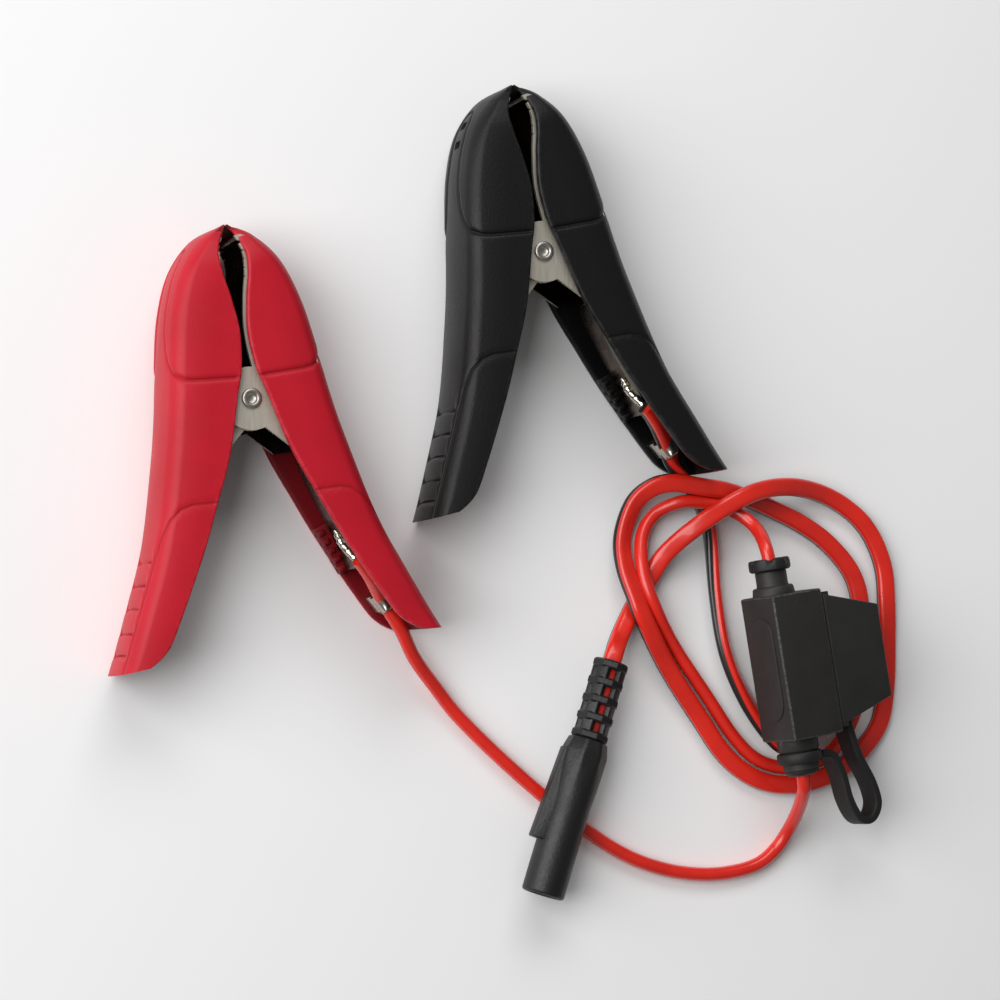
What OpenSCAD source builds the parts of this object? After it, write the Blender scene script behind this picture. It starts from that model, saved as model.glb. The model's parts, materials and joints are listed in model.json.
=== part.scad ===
/* [Clamps] */
// Depth of a clamp, from its lower side wall to its upper one
clamp_d = 22; // [20:0.5:26]
// Thickness of the moulded cover walls
wall = 1.8; // [1.4:0.1:2]
// Thickness of the plated steel jaw sheet
sheet = 1; // [0.8:0.1:1.2]
// Outside diameter of the tubular rivet
rivet_d = 3.4; // [3:0.1:3.8]
// Bore of the tubular rivet
rivet_bore = 2.2; // [1.6:0.1:2.4]
// Diameter of the spring wire
spring_wire = 1.2; // [1:0.1:1.4]

/* [Fuse holder] */
// Length of the holder body along its wires
holder_l = 34; // [33:1:40]
// Width of the holder body, from its back to the cap
holder_w = 14; // [13:0.5:15]
// Thickness of the holder body
holder_t = 13.5; // [13:0.5:15]
// Depth of the removable cap
cap_w = 15.8; // [13:0.5:16]
// Roll of the holder about its own length, cap side down
holder_roll = 10; // [6:1:11]

/* [Connector] */
// Diameter of the connector barrel
barrel_d = 10; // [10:0.5:12]
// Length of the connector from its face to the strain relief
housing_l = 37; // [35:1:40]
// Length of the ribbed strain relief
relief_l = 19; // [18:1:22]
// Bore of each contact socket
contact_bore = 2; // [1.6:0.1:2.2]

/* [Cable] */
// Width of the flat two-conductor cable
twin_w = 4.4; // [4:0.1:4.6]
// Thickness of the flat two-conductor cable
twin_t = 3.2; // [2.8:0.1:3.2]
// Diameter of a single insulated wire
wire_d = 3.2; // [2.8:0.1:3.2]

/* [Hidden] */
$fn = 48;

red_plastic = [0.75, 0.13, 0.2];
black_plastic = [0.13, 0.13, 0.13];
wire_red = [0.88, 0.15, 0.1];
nickel = [0.72, 0.69, 0.64];
brass = [0.76, 0.62, 0.3];

// Where each clamp's rivet stands and how far the clamp is turned
red_at = [-65, 11.5, 0];
red_turn = 8.6;
black_at = [3.5, 47.6, 0];
black_turn = 10.3;

// Centre and turn of the fuse holder, and of the connector's open face
holder_at = [67, -46.3, 15.5];
holder_turn = 9.5;
connector_at = [7.2, -98.9, 8.6];
connector_turn = -17.9;

// ---------- curves ----------

function unit(v) = v / norm(v);

// A smooth curve through the points p, n steps to each span
function smooth(p, n) = [
    for (i = [0 : len(p) - 2], k = [0 : n - 1])
        let (
            t = k / n,
            a = p[max(i - 1, 0)],
            b = p[i],
            c = p[i + 1],
            d = p[min(i + 2, len(p) - 1)]
        )
        0.5 * (2 * b + (c - a) * t + (2 * a - 5 * b + 4 * c - d) * t * t
            + (3 * b - 3 * c + d - a) * t * t * t),
    p[len(p) - 1]
];

// Direction of a polyline at its point i
function heading(p, i) = unit(p[min(i + 1, len(p) - 1)] - p[max(i - 1, 0)]);

// A plane polyline moved by d to its right-hand side
function shifted(p, d) = [
    for (i = [0 : len(p) - 1])
        let (t = heading(p, i))
        p[i] + d * [t[1], -t[0]]
];

function backwards(p) = [for (i = [len(p) - 1 : -1 : 0]) p[i]];

// The outline of a strip of even thickness t that follows a plane polyline
function strip(p, t) = concat(shifted(p, t / 2), backwards(shifted(p, -t / 2)));

function turned(p, a) = [
    p[0] * cos(a) - p[1] * sin(a),
    p[0] * sin(a) + p[1] * cos(a),
    p[2]
];

// ---------- swept tubes ----------

// One ring of a tube: shape drawn across the direction t, its second axis kept upright
function ring(c, t, shape) =
    let (s = unit(cross(t, [0, 0, 1])), u = cross(s, t))
    [for (q = shape) c + q[0] * s + q[1] * u];

function oval(w, h, n) = [
    for (i = [0 : n - 1])
        let (a = 360 * (i + 0.5) / n)
        [w / 2 * cos(a), h / 2 * sin(a)] / cos(180 / n)
];

module sweep(path, shape) {
    n = len(shape);
    last = len(path) - 1;
    points = [for (i = [0 : last]) each ring(path[i], heading(path, i), shape)];
    sides = [
        for (i = [0 : last - 1], k = [0 : n - 1])
            let (a = i * n + k, b = i * n + (k + 1) % n)
            each [[a, b, b + n], [a, b + n, a + n]]
    ];
    start = [for (k = [n - 1 : -1 : 0]) k];
    end = [for (k = [0 : n - 1]) last * n + k];
    polyhedron(points, concat([start], sides, [end]), convexity = 10);
}

// ---------- clamps ----------

// The pivot is the origin, the jaws point along +Y and the wired half is on +X
back_line = smooth([
    [0.5, 39], [6.6, 36.6], [12, 30.4], [15.6, 21.2], [17.7, 10.7],
    [19.2, 0.2], [21.7, -11.6], [26.2, -28.8], [31.8, -42.6], [37.6, -56]
], 4);
rim_line = smooth([
    [0.25, 38.8], [2.9, 33], [2.9, 28], [1.8, 22.5], [0.9, 15], [1.6, 7],
    [3.3, 1], [6.8, -11.5], [11.3, -22.3], [16.1, -33], [24.3, -48.7],
    [27.4, -53], [31, -55.4], [37.2, -56]
], 4);
cavity_line = shifted(back_line, wall);
jaw_gap = 0.2;
jaw_line = shifted(back_line, wall + jaw_gap);
jaw_end_y = -13;
cheek_r = 7;
// The jaw's edge stands this far past the cover's rim into the mouth
jaw_reach = 0.4;
// The wired jaw lies outside the free one, this far in from the outer faces
wired_z = wall + 0.3;
free_z = wired_z + sheet + 0.2;
pivot_play = 0.05;
tongue_line = smooth([[18.6, -8], [12.6, -12.5], [14.8, -22], [19, -33], [21, -40]], 3);
tongue_z = [5.5, 13.2];
cavity_open_x = -12;

module clamp_frame(at, turn, half) {
    translate(at)
        rotate([0, 0, turn])
            mirror([half == "free" ? 1 : 0, 0, 0])
                children();
}

// A channel of moulded plastic, open along its rim and at the handle's end
module cover() {
    difference() {
        linear_extrude(clamp_d)
            polygon(concat(back_line, backwards(rim_line)));
        translate([0, 0, wall])
            linear_extrude(clamp_d - 2 * wall)
                polygon(concat(
                    cavity_line,
                    [[cavity_open_x, -60], [cavity_open_x, cavity_line[0][1]]]
                ));
        finger_ribs();
    }
}

// Shallow grooves across the back of the handle, near its end
module finger_ribs() {
    pitch = 5.3;
    depth = 0.5;
    count = 5;
    for (i = [0 : count - 1])
        translate([35.75 - 2.37 * i, -50.5 + pitch * i, clamp_d / 2])
            rotate([0, 0, 24])
                translate([0, -depth, -clamp_d * 0.3])
                    cube([3, 2 * depth, clamp_d * 0.6]);
}

// Serrated block moulded inside the wired handle, under the conductor
module rib_block() {
    teeth = 5;
    translate([19.4, -41, wall])
        rotate([0, 0, 24])
            union() {
                cube([5, 12, 2.4]);
                for (i = [0 : teeth - 1])
                    translate([0, 0.6 + 2.3 * i, 0])
                        cube([1.6, 1.2, 3.4]);
            }
}

// The two webs stay this far from the mouth's middle, so that they never meet
web_reach = 1.2;
cheek_back = [for (p = jaw_line) if (p[1] > jaw_end_y && p[0] > web_reach) p];
cheek_rim = [for (p = shifted(rim_line, jaw_reach)) if (p[1] > 2 && p[1] < 37) p];

module cheek_outline() {
    difference() {
        union() {
            polygon(concat(cheek_back, [[8, jaw_end_y + 1], [0.5, -5]], backwards(cheek_rim)));
            circle(r = cheek_r);
        }
        teeth();
    }
}

// V notches along the jaw's edge, close to its tip
module teeth() {
    pitch = 1.9;
    count = 5;
    for (i = [0 : count - 1])
        translate([1.9 - 0.03 * i * i, 34.6 - pitch * i])
            polygon([[-1.2, -0.8], [1.3, 0], [-1.2, 0.8]]);
}

// A pressed channel: two cheeks joined by the web that lies along the cover's back
module jaw(z, hole_r) {
    difference() {
        union() {
            for (level = [z, clamp_d - z - sheet])
                translate([0, 0, level])
                    linear_extrude(sheet)
                        cheek_outline();
            translate([0, 0, z])
                linear_extrude(clamp_d - 2 * z)
                    polygon(concat(
                        cheek_back,
                        backwards(shifted(cheek_back, sheet))
                    ));
        }
        cylinder(r = hole_r, h = clamp_d);
    }
}

module tongue() {
    translate([0, 0, tongue_z[0]])
        linear_extrude(tongue_z[1] - tongue_z[0])
            polygon(strip(tongue_line, sheet));
}

module wired_jaw() {
    jaw(wired_z, rivet_d / 2);
    tongue();
}

// Hollow rivet with a rolled head outside each cheek
module rivet() {
    head_r = rivet_d / 2 + 0.6;
    head_h = 0.7;
    low = wired_z - head_h;
    difference() {
        union() {
            translate([0, 0, low])
                cylinder(d = rivet_d, h = clamp_d - 2 * low);
            for (level = [low, clamp_d - low - head_h])
                translate([0, 0, level])
                    cylinder(r = head_r, h = head_h);
        }
        cylinder(d = rivet_bore, h = clamp_d);
    }
}

spring_r = 3.4;
spring_z = [5.4, 15.4];
spring_start = 72;
spring_sweep = 4 * 360 + 2 * (90 - spring_start);
spring_leg = 14.6;

// Torsion spring round the rivet, with one leg towards the back of each half
module spring() {
    steps = 56;
    coil = [
        for (i = [0 : steps])
            let (a = spring_start + spring_sweep * i / steps)
            [spring_r * cos(a), spring_r * sin(a),
                spring_z[0] + (spring_z[1] - spring_z[0]) * i / steps]
    ];
    leg = spring_leg * [sin(spring_start), -cos(spring_start)];
    first = coil[0] + [leg[0], leg[1], 0];
    last = coil[steps] + [-leg[0], leg[1], 0];
    sweep(concat([first], coil, [last]), oval(spring_wire, spring_wire, 8));
}

// The conductor's course inside the wired handle, from its bare end to the handle's mouth
inner_run = [[20.4, -38.4, 15.8], [23.2, -42.2, 13.4], [27, -48.2, 8.2], [30.5, -55, 7.4]];
grip_at = inner_run[2];
grip_turn = 32;

// Folded metal tab round the wire, with a foot on the cover's lower wall
module wire_grip(hole) {
    width = 4.4;
    band = 0.5;
    translate(grip_at)
        rotate([0, 0, grip_turn]) {
            rotate([90, 0, 0])
                translate([0, 0, -width / 2])
                    difference() {
                        cylinder(r = hole / 2 + band, h = width);
                        translate([0, 0, -1])
                            cylinder(r = hole / 2, h = width + 2);
                    }
            translate([-1.5, -width / 2, wall - grip_at[2]])
                cube([3, width, grip_at[2] - wall - hole / 2 - band / 2]);
        }
}

// Bead of solder that holds the bare strands to the tongue
module solder_joint() {
    bead = [[17.3, -31, 11.4], [18.6, -34.6, 11.8], [20.1, -38.2, 14.6]];
    sweep(bead, oval(2, 2.6, 10));
}

// ---------- fuse holder ----------

holder_wall = 1.5;
collar_l = 2.5;
collar_play = 0.2;
cap_gap = 0.3;
cap_l = 31;
cap_t = 12;
cap_slope = tan(16);
neck_l = 7.4;
// The wires run nearer the back than the middle of the body
neck_x = -1.8;
ring_y = [-22.6, -20.2];

// X runs from the holder's back towards the cap, Y along the wires to the feed side
module holder_frame() {
    translate(holder_at)
        rotate([0, 0, holder_turn])
            rotate([0, holder_roll, 0])
                children();
}

// Puts children on the line of the wires
module on_neck() {
    translate([neck_x, 0, 0])
        children();
}

module along_y(y) {
    translate([0, y, 0])
        rotate([-90, 0, 0])
            children();
}

module block(size) {
    translate(-size / 2)
        cube(size);
}

// Body with an oval panel on its back, a collar for the cap and a neck at each end
module holder_body() {
    half = holder_w / 2;
    inner = [holder_w, holder_l - 8, 7.2];
    difference() {
        union() {
            block([holder_w, holder_l, holder_t]);
            translate([half + collar_l / 2, 0, 0])
                block([collar_l, cap_l - 2 * (holder_wall + collar_play) - 1.4,
                    cap_t - 2 * (holder_wall + collar_play)]);
            translate([-half, 0, 0])
                rotate([0, -90, 0])
                    linear_extrude(0.4)
                        for (y = [-8, 8])
                            translate([0, y])
                                circle(d = 9);
            translate([-half - 0.2, 0, 0])
                block([0.4, 16, 9]);
            on_neck() {
                along_y(holder_l / 2)
                    cylinder(d = 9.6, h = 1.8);
                along_y(holder_l / 2)
                    cylinder(d = 7.6, h = 5.6);
                along_y(-holder_l / 2 - 3)
                    cylinder(d = 9.6, h = 3);
                along_y(-holder_l / 2 - neck_l)
                    cylinder(d = 8.4, h = neck_l);
            }
        }
        translate([holder_wall + 2, 0, 0])
            block(inner);
        translate([holder_w / 2, 0, 0])
            block([2 * collar_l + 1, inner[1], inner[2]]);
        on_neck()
            along_y(-holder_l / 2 - neck_l - 1)
                cylinder(d = 4.6, h = holder_l + 2 * neck_l);
    }
}

// Soft bush with castellations round its mouth
module upper_grommet() {
    difference() {
        union() {
            along_y(holder_l / 2 + 5.6)
                cylinder(d = 9.8, h = 2.9);
            along_y(holder_l / 2 + 2)
                cylinder(d = 4.6, h = 4);
        }
        along_y(holder_l / 2)
            cylinder(d = wire_d, h = 10);
        for (a = [0 : 60 : 300])
            along_y(holder_l / 2 + 7.6)
                rotate([0, 0, a])
                    translate([3, -0.7, 0])
                        cube([3, 1.4, 1]);
    }
}

module lower_grommet() {
    difference() {
        union() {
            along_y(-holder_l / 2 - neck_l - 1.2)
                cylinder(d = 8, h = 1.2);
            along_y(-holder_l / 2 - neck_l)
                cylinder(d = 4.6, h = 5);
        }
        along_y(-holder_l / 2 - 12)
            cylinder(d = wire_d, h = 12);
    }
}

// Tapered end-on outline of the cap, taken in by t all round
function cap_outline(t) = [
    [holder_w / 2 + cap_gap - (t > 0 ? 1 : 0), cap_l / 2 - t],
    [holder_w / 2 + cap_gap + cap_w - t, cap_l / 2 - t - cap_slope * (cap_w - t)],
    [holder_w / 2 + cap_gap + cap_w - t, -cap_l / 2 + t + cap_slope * (cap_w - t)],
    [holder_w / 2 + cap_gap - (t > 0 ? 1 : 0), -cap_l / 2 + t]
];

module holder_cap() {
    difference() {
        translate([0, 0, -cap_t / 2])
            linear_extrude(cap_t)
                polygon(cap_outline(0));
        translate([0, 0, holder_wall - cap_t / 2])
            linear_extrude(cap_t - 2 * holder_wall)
                polygon(cap_outline(holder_wall));
    }
}

strap_line = smooth([
    [3, -21.4], [6.2, -22.4], [8, -27], [9, -33.6], [11.2, -38.2],
    [14.4, -38.8], [16.8, -35.5], [16, -30], [13.4, -23.5], [11.6, -14.7]
], 4);

// Flexible strap with a ring round the lower neck, moulded to the cap's side
module cap_strap() {
    thickness = 1.8;
    width = 5.5;
    difference() {
        union() {
            on_neck()
                along_y(ring_y[0])
                    cylinder(d = 10.6, h = ring_y[1] - ring_y[0]);
            translate([0, 0, -width / 2])
                linear_extrude(width)
                    polygon(strip(strap_line, thickness));
        }
        on_neck()
            along_y(ring_y[0] - 1)
                cylinder(d = 8.4, h = 5);
    }
}

// Blade fuse: 19 mm wide body, two blades 14 mm apart
fuse_w = 19;
fuse_t = 5;
fuse_x = [4.4, 15.4];
blade_pitch = 14;
blade_w = 5.2;
blade_t = 0.7;
blade_l = 7;
terminal_half = 3.3;
barrel_l = 5;

module fuse_body() {
    difference() {
        translate([fuse_x[0], -fuse_w / 2, -fuse_t / 2])
            cube([fuse_x[1] - fuse_x[0], fuse_w, fuse_t]);
        for (side = [-1, 1])
            translate([fuse_x[0] - 1, side * blade_pitch / 2 - blade_w / 2, -blade_t / 2])
                cube([6, blade_w, blade_t]);
    }
}

module fuse_blades() {
    for (side = [-1, 1])
        translate([fuse_x[0] - blade_l, side * blade_pitch / 2 - blade_w / 2, -blade_t / 2])
            cube([blade_l + 5, blade_w, blade_t]);
}

// Receptacle for one blade, with a crimp barrel towards the wire
module terminal(side) {
    difference() {
        union() {
            translate([-3.4, side * blade_pitch / 2 - 3.3, -1.6])
                cube([7, 6.6, 3.2]);
            translate([neck_x, side > 0 ? wire_start - barrel_l : -wire_start, 0])
                rotate([-90, 0, 0])
                    cylinder(d = 3, h = barrel_l);
        }
        translate([-3.4 + 0.4, side * blade_pitch / 2 - 2.7, -0.45])
            cube([9, 5.4, 0.9]);
    }
}

// ---------- connector ----------

// Y runs from the open face back along the cable
module connector_frame() {
    translate(connector_at)
        rotate([0, 0, connector_turn])
            children();
}

face_depth = 3;
contact_x = 2.1;
contact_l = 10;
shoulder_r = 5.5;
// The key rib along one side of the barrel
key_reach = 1.9;
key_w = 3.6;

module connector_housing() {
    r = barrel_d / 2;
    difference() {
        union() {
            rotate([-90, 0, 0])
                rotate_extrude()
                    polygon([
                        [0, 0], [r - 0.4, 0], [r, 0.6], [r, 21], [r + 0.2, 24],
                        [shoulder_r, 31], [shoulder_r, 35.5], [r - 0.5, housing_l],
                        [0, housing_l]
                    ]);
            translate([-r - key_reach, 12, -key_w / 2])
                cube([key_reach + 1, 22, key_w]);
        }
        translate([0, -1, 0])
            rotate([-90, 0, 0])
                cylinder(r = r - 1.2, h = contact_l + face_depth + 1);
    }
}

// Insert that carries the two contact sockets
module connector_face() {
    difference() {
        along_y(0.6)
            cylinder(r = barrel_d / 2 - 1.2, h = contact_l + face_depth - 0.6);
        for (x = [-contact_x, contact_x])
            translate([x, 0, 0])
                along_y(-1)
                    cylinder(d = contact_bore + 0.8, h = contact_l + 2);
    }
}

module contact(x) {
    translate([x, 0, 0])
        difference() {
            along_y(1)
                cylinder(d = contact_bore + 0.8, h = contact_l);
            along_y(0)
                cylinder(d = contact_bore, h = contact_l);
        }
}

// Five ribs joined by four thin bridges, so that the cable shows between them
module strain_relief() {
    ribs = 5;
    rib_l = 2;
    pitch = (relief_l - rib_l) / (ribs - 1);
    difference() {
        union() {
            for (i = [0 : ribs - 1])
                along_y(housing_l + pitch * i)
                    cylinder(r = 4.6 - 0.06 * i, h = rib_l);
            for (a = [45 : 90 : 315])
                rotate([0, a, 0])
                    translate([2, housing_l + 0.5, -1])
                        cube([1.7, relief_l - 1, 2]);
        }
        along_y(housing_l - 1)
            cylinder(r = 2.55, h = relief_l + 2);
    }
}

// ---------- cables ----------

function on_connector(y) = connector_at + turned([0, y, 0], connector_turn);
function on_holder(y) = holder_at
    + turned([neck_x * cos(holder_roll), y, -neck_x * sin(holder_roll)], holder_turn);
function on_clamp(at, turn, p) = at + turned(p, turn);

// Distance from the holder's middle at which a wire meets its terminal
wire_start = blade_pitch / 2 + terminal_half + barrel_l;

// The flat cable: connector, outer loop, inner loop, black clamp
twin_route = concat(
    [on_connector(housing_l), on_connector(housing_l + relief_l)],
    [
        [28, -39.5, 4.8], [33, -32, 1.7], [36.5, -26, 2], [40, -20, 4], [45, -14.5, 8.5],
        [52, -9.5, 10.2], [61, -5.2, 9.5], [71, -3.6, 6.5], [81, -4.8, 3], [89, -8.5, 1.7],
        [94.5, -14, 1.7], [98, -22, 1.7], [99, -31, 1.7], [99, -41, 1.7], [98.5, -51, 1.7],
        [96.5, -60, 1.7], [90.5, -67.5, 1.7], [82.5, -72.5, 1.7], [73, -74.5, 1.7],
        [64, -73, 1.7], [56, -67.5, 1.7], [49, -58, 1.7], [41, -47, 2.8], [34, -36, 5.6],
        [31.8, -30.5, 5.4], [29.8, -23, 3.4], [29.8, -16, 2], [32, -8.5, 3.4], [36, -4.6, 5.4],
        [41, -3.4, 6.8], [47.5, -4.2, 7], [54, -4.9, 6.2], [61, -6.4, 4.2], [68, -8.6, 2.4],
        [76, -12, 1.7], [83, -16.5, 1.7], [89, -23, 1.7], [91.5, -30, 1.7], [91.2, -38, 1.7],
        [89, -46, 1.7], [84, -54.5, 1.7], [78, -62, 1.7], [72.6, -65.4, 1.7], [67.5, -62.5, 1.7],
        [61, -54, 1.7], [56, -43, 1.7], [53.4, -29, 1.7], [52.2, -16, 1.7], [50.6, -10, 1.8],
        [48.6, -6.4, 2.6], [45.4, -3, 3.7], [41.2, 1, 5.6]
    ],
    [for (i = [2 : -1 : 0]) on_clamp(black_at, black_turn, inner_run[i])]
);

// The wire that feeds the fuse, from the holder's upper neck to the splice
feed_route = concat(
    [on_holder(wire_start), on_holder(holder_l / 2 + 10)],
    [
        [60.2, -13.5, 10], [55.6, -9.4, 6.6], [49.5, -8, 6], [43.5, -7.8, 5.4], [38, -10.4, 2.8],
        [34.4, -16, 3], [33.8, -24, 4.8], [36.2, -32, 5.7], [42.4, -41.5, 2.8], [51, -53, 1.7],
        [58.6, -63.5, 1.7], [65, -68.8, 1.7], [73, -70.4, 1.7], [81, -68.4, 1.7],
        [87, -63, 1.7], [91, -55, 1.7], [93.4, -46, 1.9]
    ]
);

// The wire from the holder's lower neck to the red clamp
positive_route = concat(
    [on_holder(-wire_start), on_holder(-holder_l / 2 - 9.4)],
    [
        [70.6, -76, 13.8], [71.6, -80.5, 8.5], [71.4, -85, 3.8], [69, -89.5, 1.8],
        [64.5, -93, 1.7], [58, -94.8, 1.7], [50, -95.3, 1.7], [40.5, -94, 1.7],
        [30.5, -90.5, 1.7], [20, -84.2, 1.7], [9, -75.8, 1.7], [-2, -66.5, 1.7],
        [-11, -58, 1.7], [-16.5, -51.8, 2.8], [-22.5, -45, 5.2]
    ],
    [for (i = [3 : -1 : 0]) on_clamp(red_at, red_turn, inner_run[i])]
);

module twin_cable() {
    c = 0.7;
    w = twin_w / 2;
    h = twin_t / 2;
    sweep(twin_route, [
        [w, -h + c], [w, h - c], [w - c, h], [c - w, h],
        [-w, h - c], [-w, c - h], [c - w, -h], [w - c, -h]
    ]);
}

// Flat sleeve where the feed wire joins the red conductor, under the cap
module splice_sleeve() {
    middle = [91.8, -45, 1.95];
    run = [2, 8, 0] / 2;
    sweep([middle - run, middle + run], oval(7.2, 3.7, 12));
}

// ---------- nodes ----------

module red_free_cover() {
    color(red_plastic)
        clamp_frame(red_at, red_turn, "free")
            cover();
}

module red_wired_cover() {
    color(red_plastic)
        clamp_frame(red_at, red_turn, "wired") {
            cover();
            rib_block();
        }
}

module red_free_jaw() {
    color(nickel)
        clamp_frame(red_at, red_turn, "free")
            jaw(free_z, rivet_d / 2 + pivot_play);
}

module red_wired_jaw() {
    color(nickel)
        clamp_frame(red_at, red_turn, "wired")
            wired_jaw();
}

module red_rivet() {
    color(nickel)
        clamp_frame(red_at, red_turn, "wired")
            rivet();
}

module red_spring() {
    color("dimgray")
        clamp_frame(red_at, red_turn, "wired")
            spring();
}

module red_wire_grip() {
    color(nickel)
        clamp_frame(red_at, red_turn, "wired")
            wire_grip(wire_d);
}

module red_solder_joint() {
    color("silver")
        clamp_frame(red_at, red_turn, "wired")
            solder_joint();
}

module black_free_cover() {
    color(black_plastic)
        clamp_frame(black_at, black_turn, "free")
            cover();
}

module black_wired_cover() {
    color(black_plastic)
        clamp_frame(black_at, black_turn, "wired") {
            cover();
            rib_block();
        }
}

module black_free_jaw() {
    color(nickel)
        clamp_frame(black_at, black_turn, "free")
            jaw(free_z, rivet_d / 2 + pivot_play);
}

module black_wired_jaw() {
    color(nickel)
        clamp_frame(black_at, black_turn, "wired")
            wired_jaw();
}

module black_rivet() {
    color(nickel)
        clamp_frame(black_at, black_turn, "wired")
            rivet();
}

module black_spring() {
    color("dimgray")
        clamp_frame(black_at, black_turn, "wired")
            spring();
}

module black_wire_grip() {
    color(nickel)
        clamp_frame(black_at, black_turn, "wired")
            wire_grip(twin_w);
}

module black_solder_joint() {
    color("silver")
        clamp_frame(black_at, black_turn, "wired")
            solder_joint();
}

red_free_cover();
red_wired_cover();
red_free_jaw();
red_wired_jaw();
red_rivet();
red_spring();
red_wire_grip();
red_solder_joint();
black_free_cover();
black_wired_cover();
black_free_jaw();
black_wired_jaw();
black_rivet();
black_spring();
black_wire_grip();
black_solder_joint();
color(black_plastic) holder_frame() holder_body();
color(black_plastic) holder_frame() on_neck() upper_grommet();
color(black_plastic) holder_frame() on_neck() lower_grommet();
color(black_plastic) holder_frame() holder_cap();
color(black_plastic) holder_frame() cap_strap();
color("tomato") holder_frame() fuse_body();
color(nickel) holder_frame() fuse_blades();
color(brass) holder_frame() terminal(1);  // terminal_in
color(brass) holder_frame() terminal(-1);  // terminal_out
color(black_plastic) connector_frame() connector_housing();
color(black_plastic) connector_frame() connector_face();
color(black_plastic) connector_frame() strain_relief();
color(brass) connector_frame() contact(contact_x);  // contact_positive
color(brass) connector_frame() contact(-contact_x);  // contact_negative
color(wire_red) twin_cable();
color(wire_red) sweep(feed_route, oval(wire_d, wire_d, 8));  // fuse_feed_wire
color(wire_red) sweep(positive_route, oval(wire_d, wire_d, 8));  // positive_wire
color(black_plastic) splice_sleeve();
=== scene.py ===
# %% [markdown]
# # Battery charger clamp lead set
# A red and a black battery clamp, an in-line fuse holder, a two-contact connector and the cable that
# joins them. Every cell below makes one piece or one finish. Lengths are written in millimetres, as a
# maker thinks of them, and a matrix takes each finished piece to metres and to its place on the part.

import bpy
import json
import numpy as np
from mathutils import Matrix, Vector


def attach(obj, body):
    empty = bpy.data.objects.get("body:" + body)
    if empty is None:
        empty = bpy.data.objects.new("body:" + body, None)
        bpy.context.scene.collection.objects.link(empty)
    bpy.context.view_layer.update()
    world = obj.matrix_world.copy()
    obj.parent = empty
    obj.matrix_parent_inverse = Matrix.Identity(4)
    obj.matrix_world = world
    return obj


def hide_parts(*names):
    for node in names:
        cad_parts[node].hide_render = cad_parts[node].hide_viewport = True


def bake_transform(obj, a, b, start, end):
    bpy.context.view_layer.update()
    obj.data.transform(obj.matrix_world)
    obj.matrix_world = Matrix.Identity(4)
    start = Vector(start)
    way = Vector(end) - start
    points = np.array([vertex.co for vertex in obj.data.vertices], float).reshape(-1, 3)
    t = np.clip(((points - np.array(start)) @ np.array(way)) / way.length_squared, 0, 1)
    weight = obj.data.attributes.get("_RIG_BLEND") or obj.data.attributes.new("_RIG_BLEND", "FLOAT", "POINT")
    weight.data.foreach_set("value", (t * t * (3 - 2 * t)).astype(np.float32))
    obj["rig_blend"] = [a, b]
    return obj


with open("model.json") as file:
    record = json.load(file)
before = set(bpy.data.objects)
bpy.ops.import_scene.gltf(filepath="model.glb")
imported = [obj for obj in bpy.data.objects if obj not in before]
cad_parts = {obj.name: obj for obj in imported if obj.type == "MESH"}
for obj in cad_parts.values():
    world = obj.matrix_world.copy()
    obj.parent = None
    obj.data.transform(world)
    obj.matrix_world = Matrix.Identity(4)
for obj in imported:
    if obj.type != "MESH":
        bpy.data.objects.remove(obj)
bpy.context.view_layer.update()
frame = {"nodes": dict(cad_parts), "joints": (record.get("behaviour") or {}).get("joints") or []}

# %% Blender's own modules
import json
import math

import bmesh
import bpy
from mathutils import Matrix, Vector, noise

MM = 0.001

# %% [markdown]
# ## Camera
# The set is looked at from above and a little from its left, so the backs of the handles show.
# A long lens a good way off keeps the perspective as slight as it is on a product picture. The
# camera's three axes are worked out from two tilt angles, and the lens from the distance and from
# how wide a strip of the table fills the frame.

# %% Camera
def camera(distance=700, tilt=20, turn=12, frame_width=1000 / 4.3, target=(0, -8, 0)):
    across, down = math.radians(tilt), math.radians(turn)
    back = Vector((-math.sin(across) * math.cos(down), -math.sin(across) * math.sin(down), math.cos(across)))
    right = Vector((0, 1, 0)).cross(back).normalized()
    up = back.cross(right)
    data = bpy.data.cameras.new("camera")
    data.sensor_width = 36
    data.lens = 36 * distance / frame_width
    data.clip_start, data.clip_end = 0.01, 10
    made = bpy.data.objects.new("camera", data)
    made.matrix_world = Matrix.Translation((Vector(target) + back * distance) * MM) @ Matrix(
        (right, up, back)).transposed().to_4x4()
    bpy.context.scene.collection.objects.link(made)
    bpy.context.scene.camera = made
    print("lens", round(data.lens, 1), "mm at", [round(x, 3) for x in made.location])


camera()

# %% [markdown]
# ## Curves and grids
# Nearly everything here is a long bent thing: a cable, a strap, a moulded channel. Each is a grid of
# points, one row for each station along it, that bmesh makes flat and that is then laid on the
# shape, as one rolls a sheet into a tube. The stations come from a smooth curve through a few points.

# %% Smooth curves
def at(points, place):
    """The smooth curve through the points, at a fractional place: 1.5 is half way past the second."""
    last = len(points) - 1
    i = min(int(max(place, 0)), last - 1)
    t = min(max(place, 0), last) - i
    a, b, c, d = (Vector(points[k]) for k in (max(i - 1, 0), i, i + 1, min(i + 2, last)))
    return 0.5 * (2 * b + (c - a) * t + (2 * a - 5 * b + 4 * c - d) * t * t + (3 * b - 3 * c + d - a) * t ** 3)


def smooth(points, steps):
    return [at(points, i / steps) for i in range((len(points) - 1) * steps + 1)]


def length_of(line):
    return sum((b - a).length for a, b in zip(line, line[1:]))


def evenly(line, step):
    """The line again, with its points about step apart."""
    count = max(2, round(length_of(line) / step))
    gap, made, gone = length_of(line) / count, [line[0].copy()], 0
    for a, b in zip(line, line[1:]):
        piece = (b - a).length
        while piece > 1e-9 and gone + piece >= gap * len(made) - 1e-9 and len(made) < count:
            made.append(a.lerp(b, (gap * len(made) - gone) / piece))
        gone += piece
    return made + [line[-1].copy()]


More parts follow.
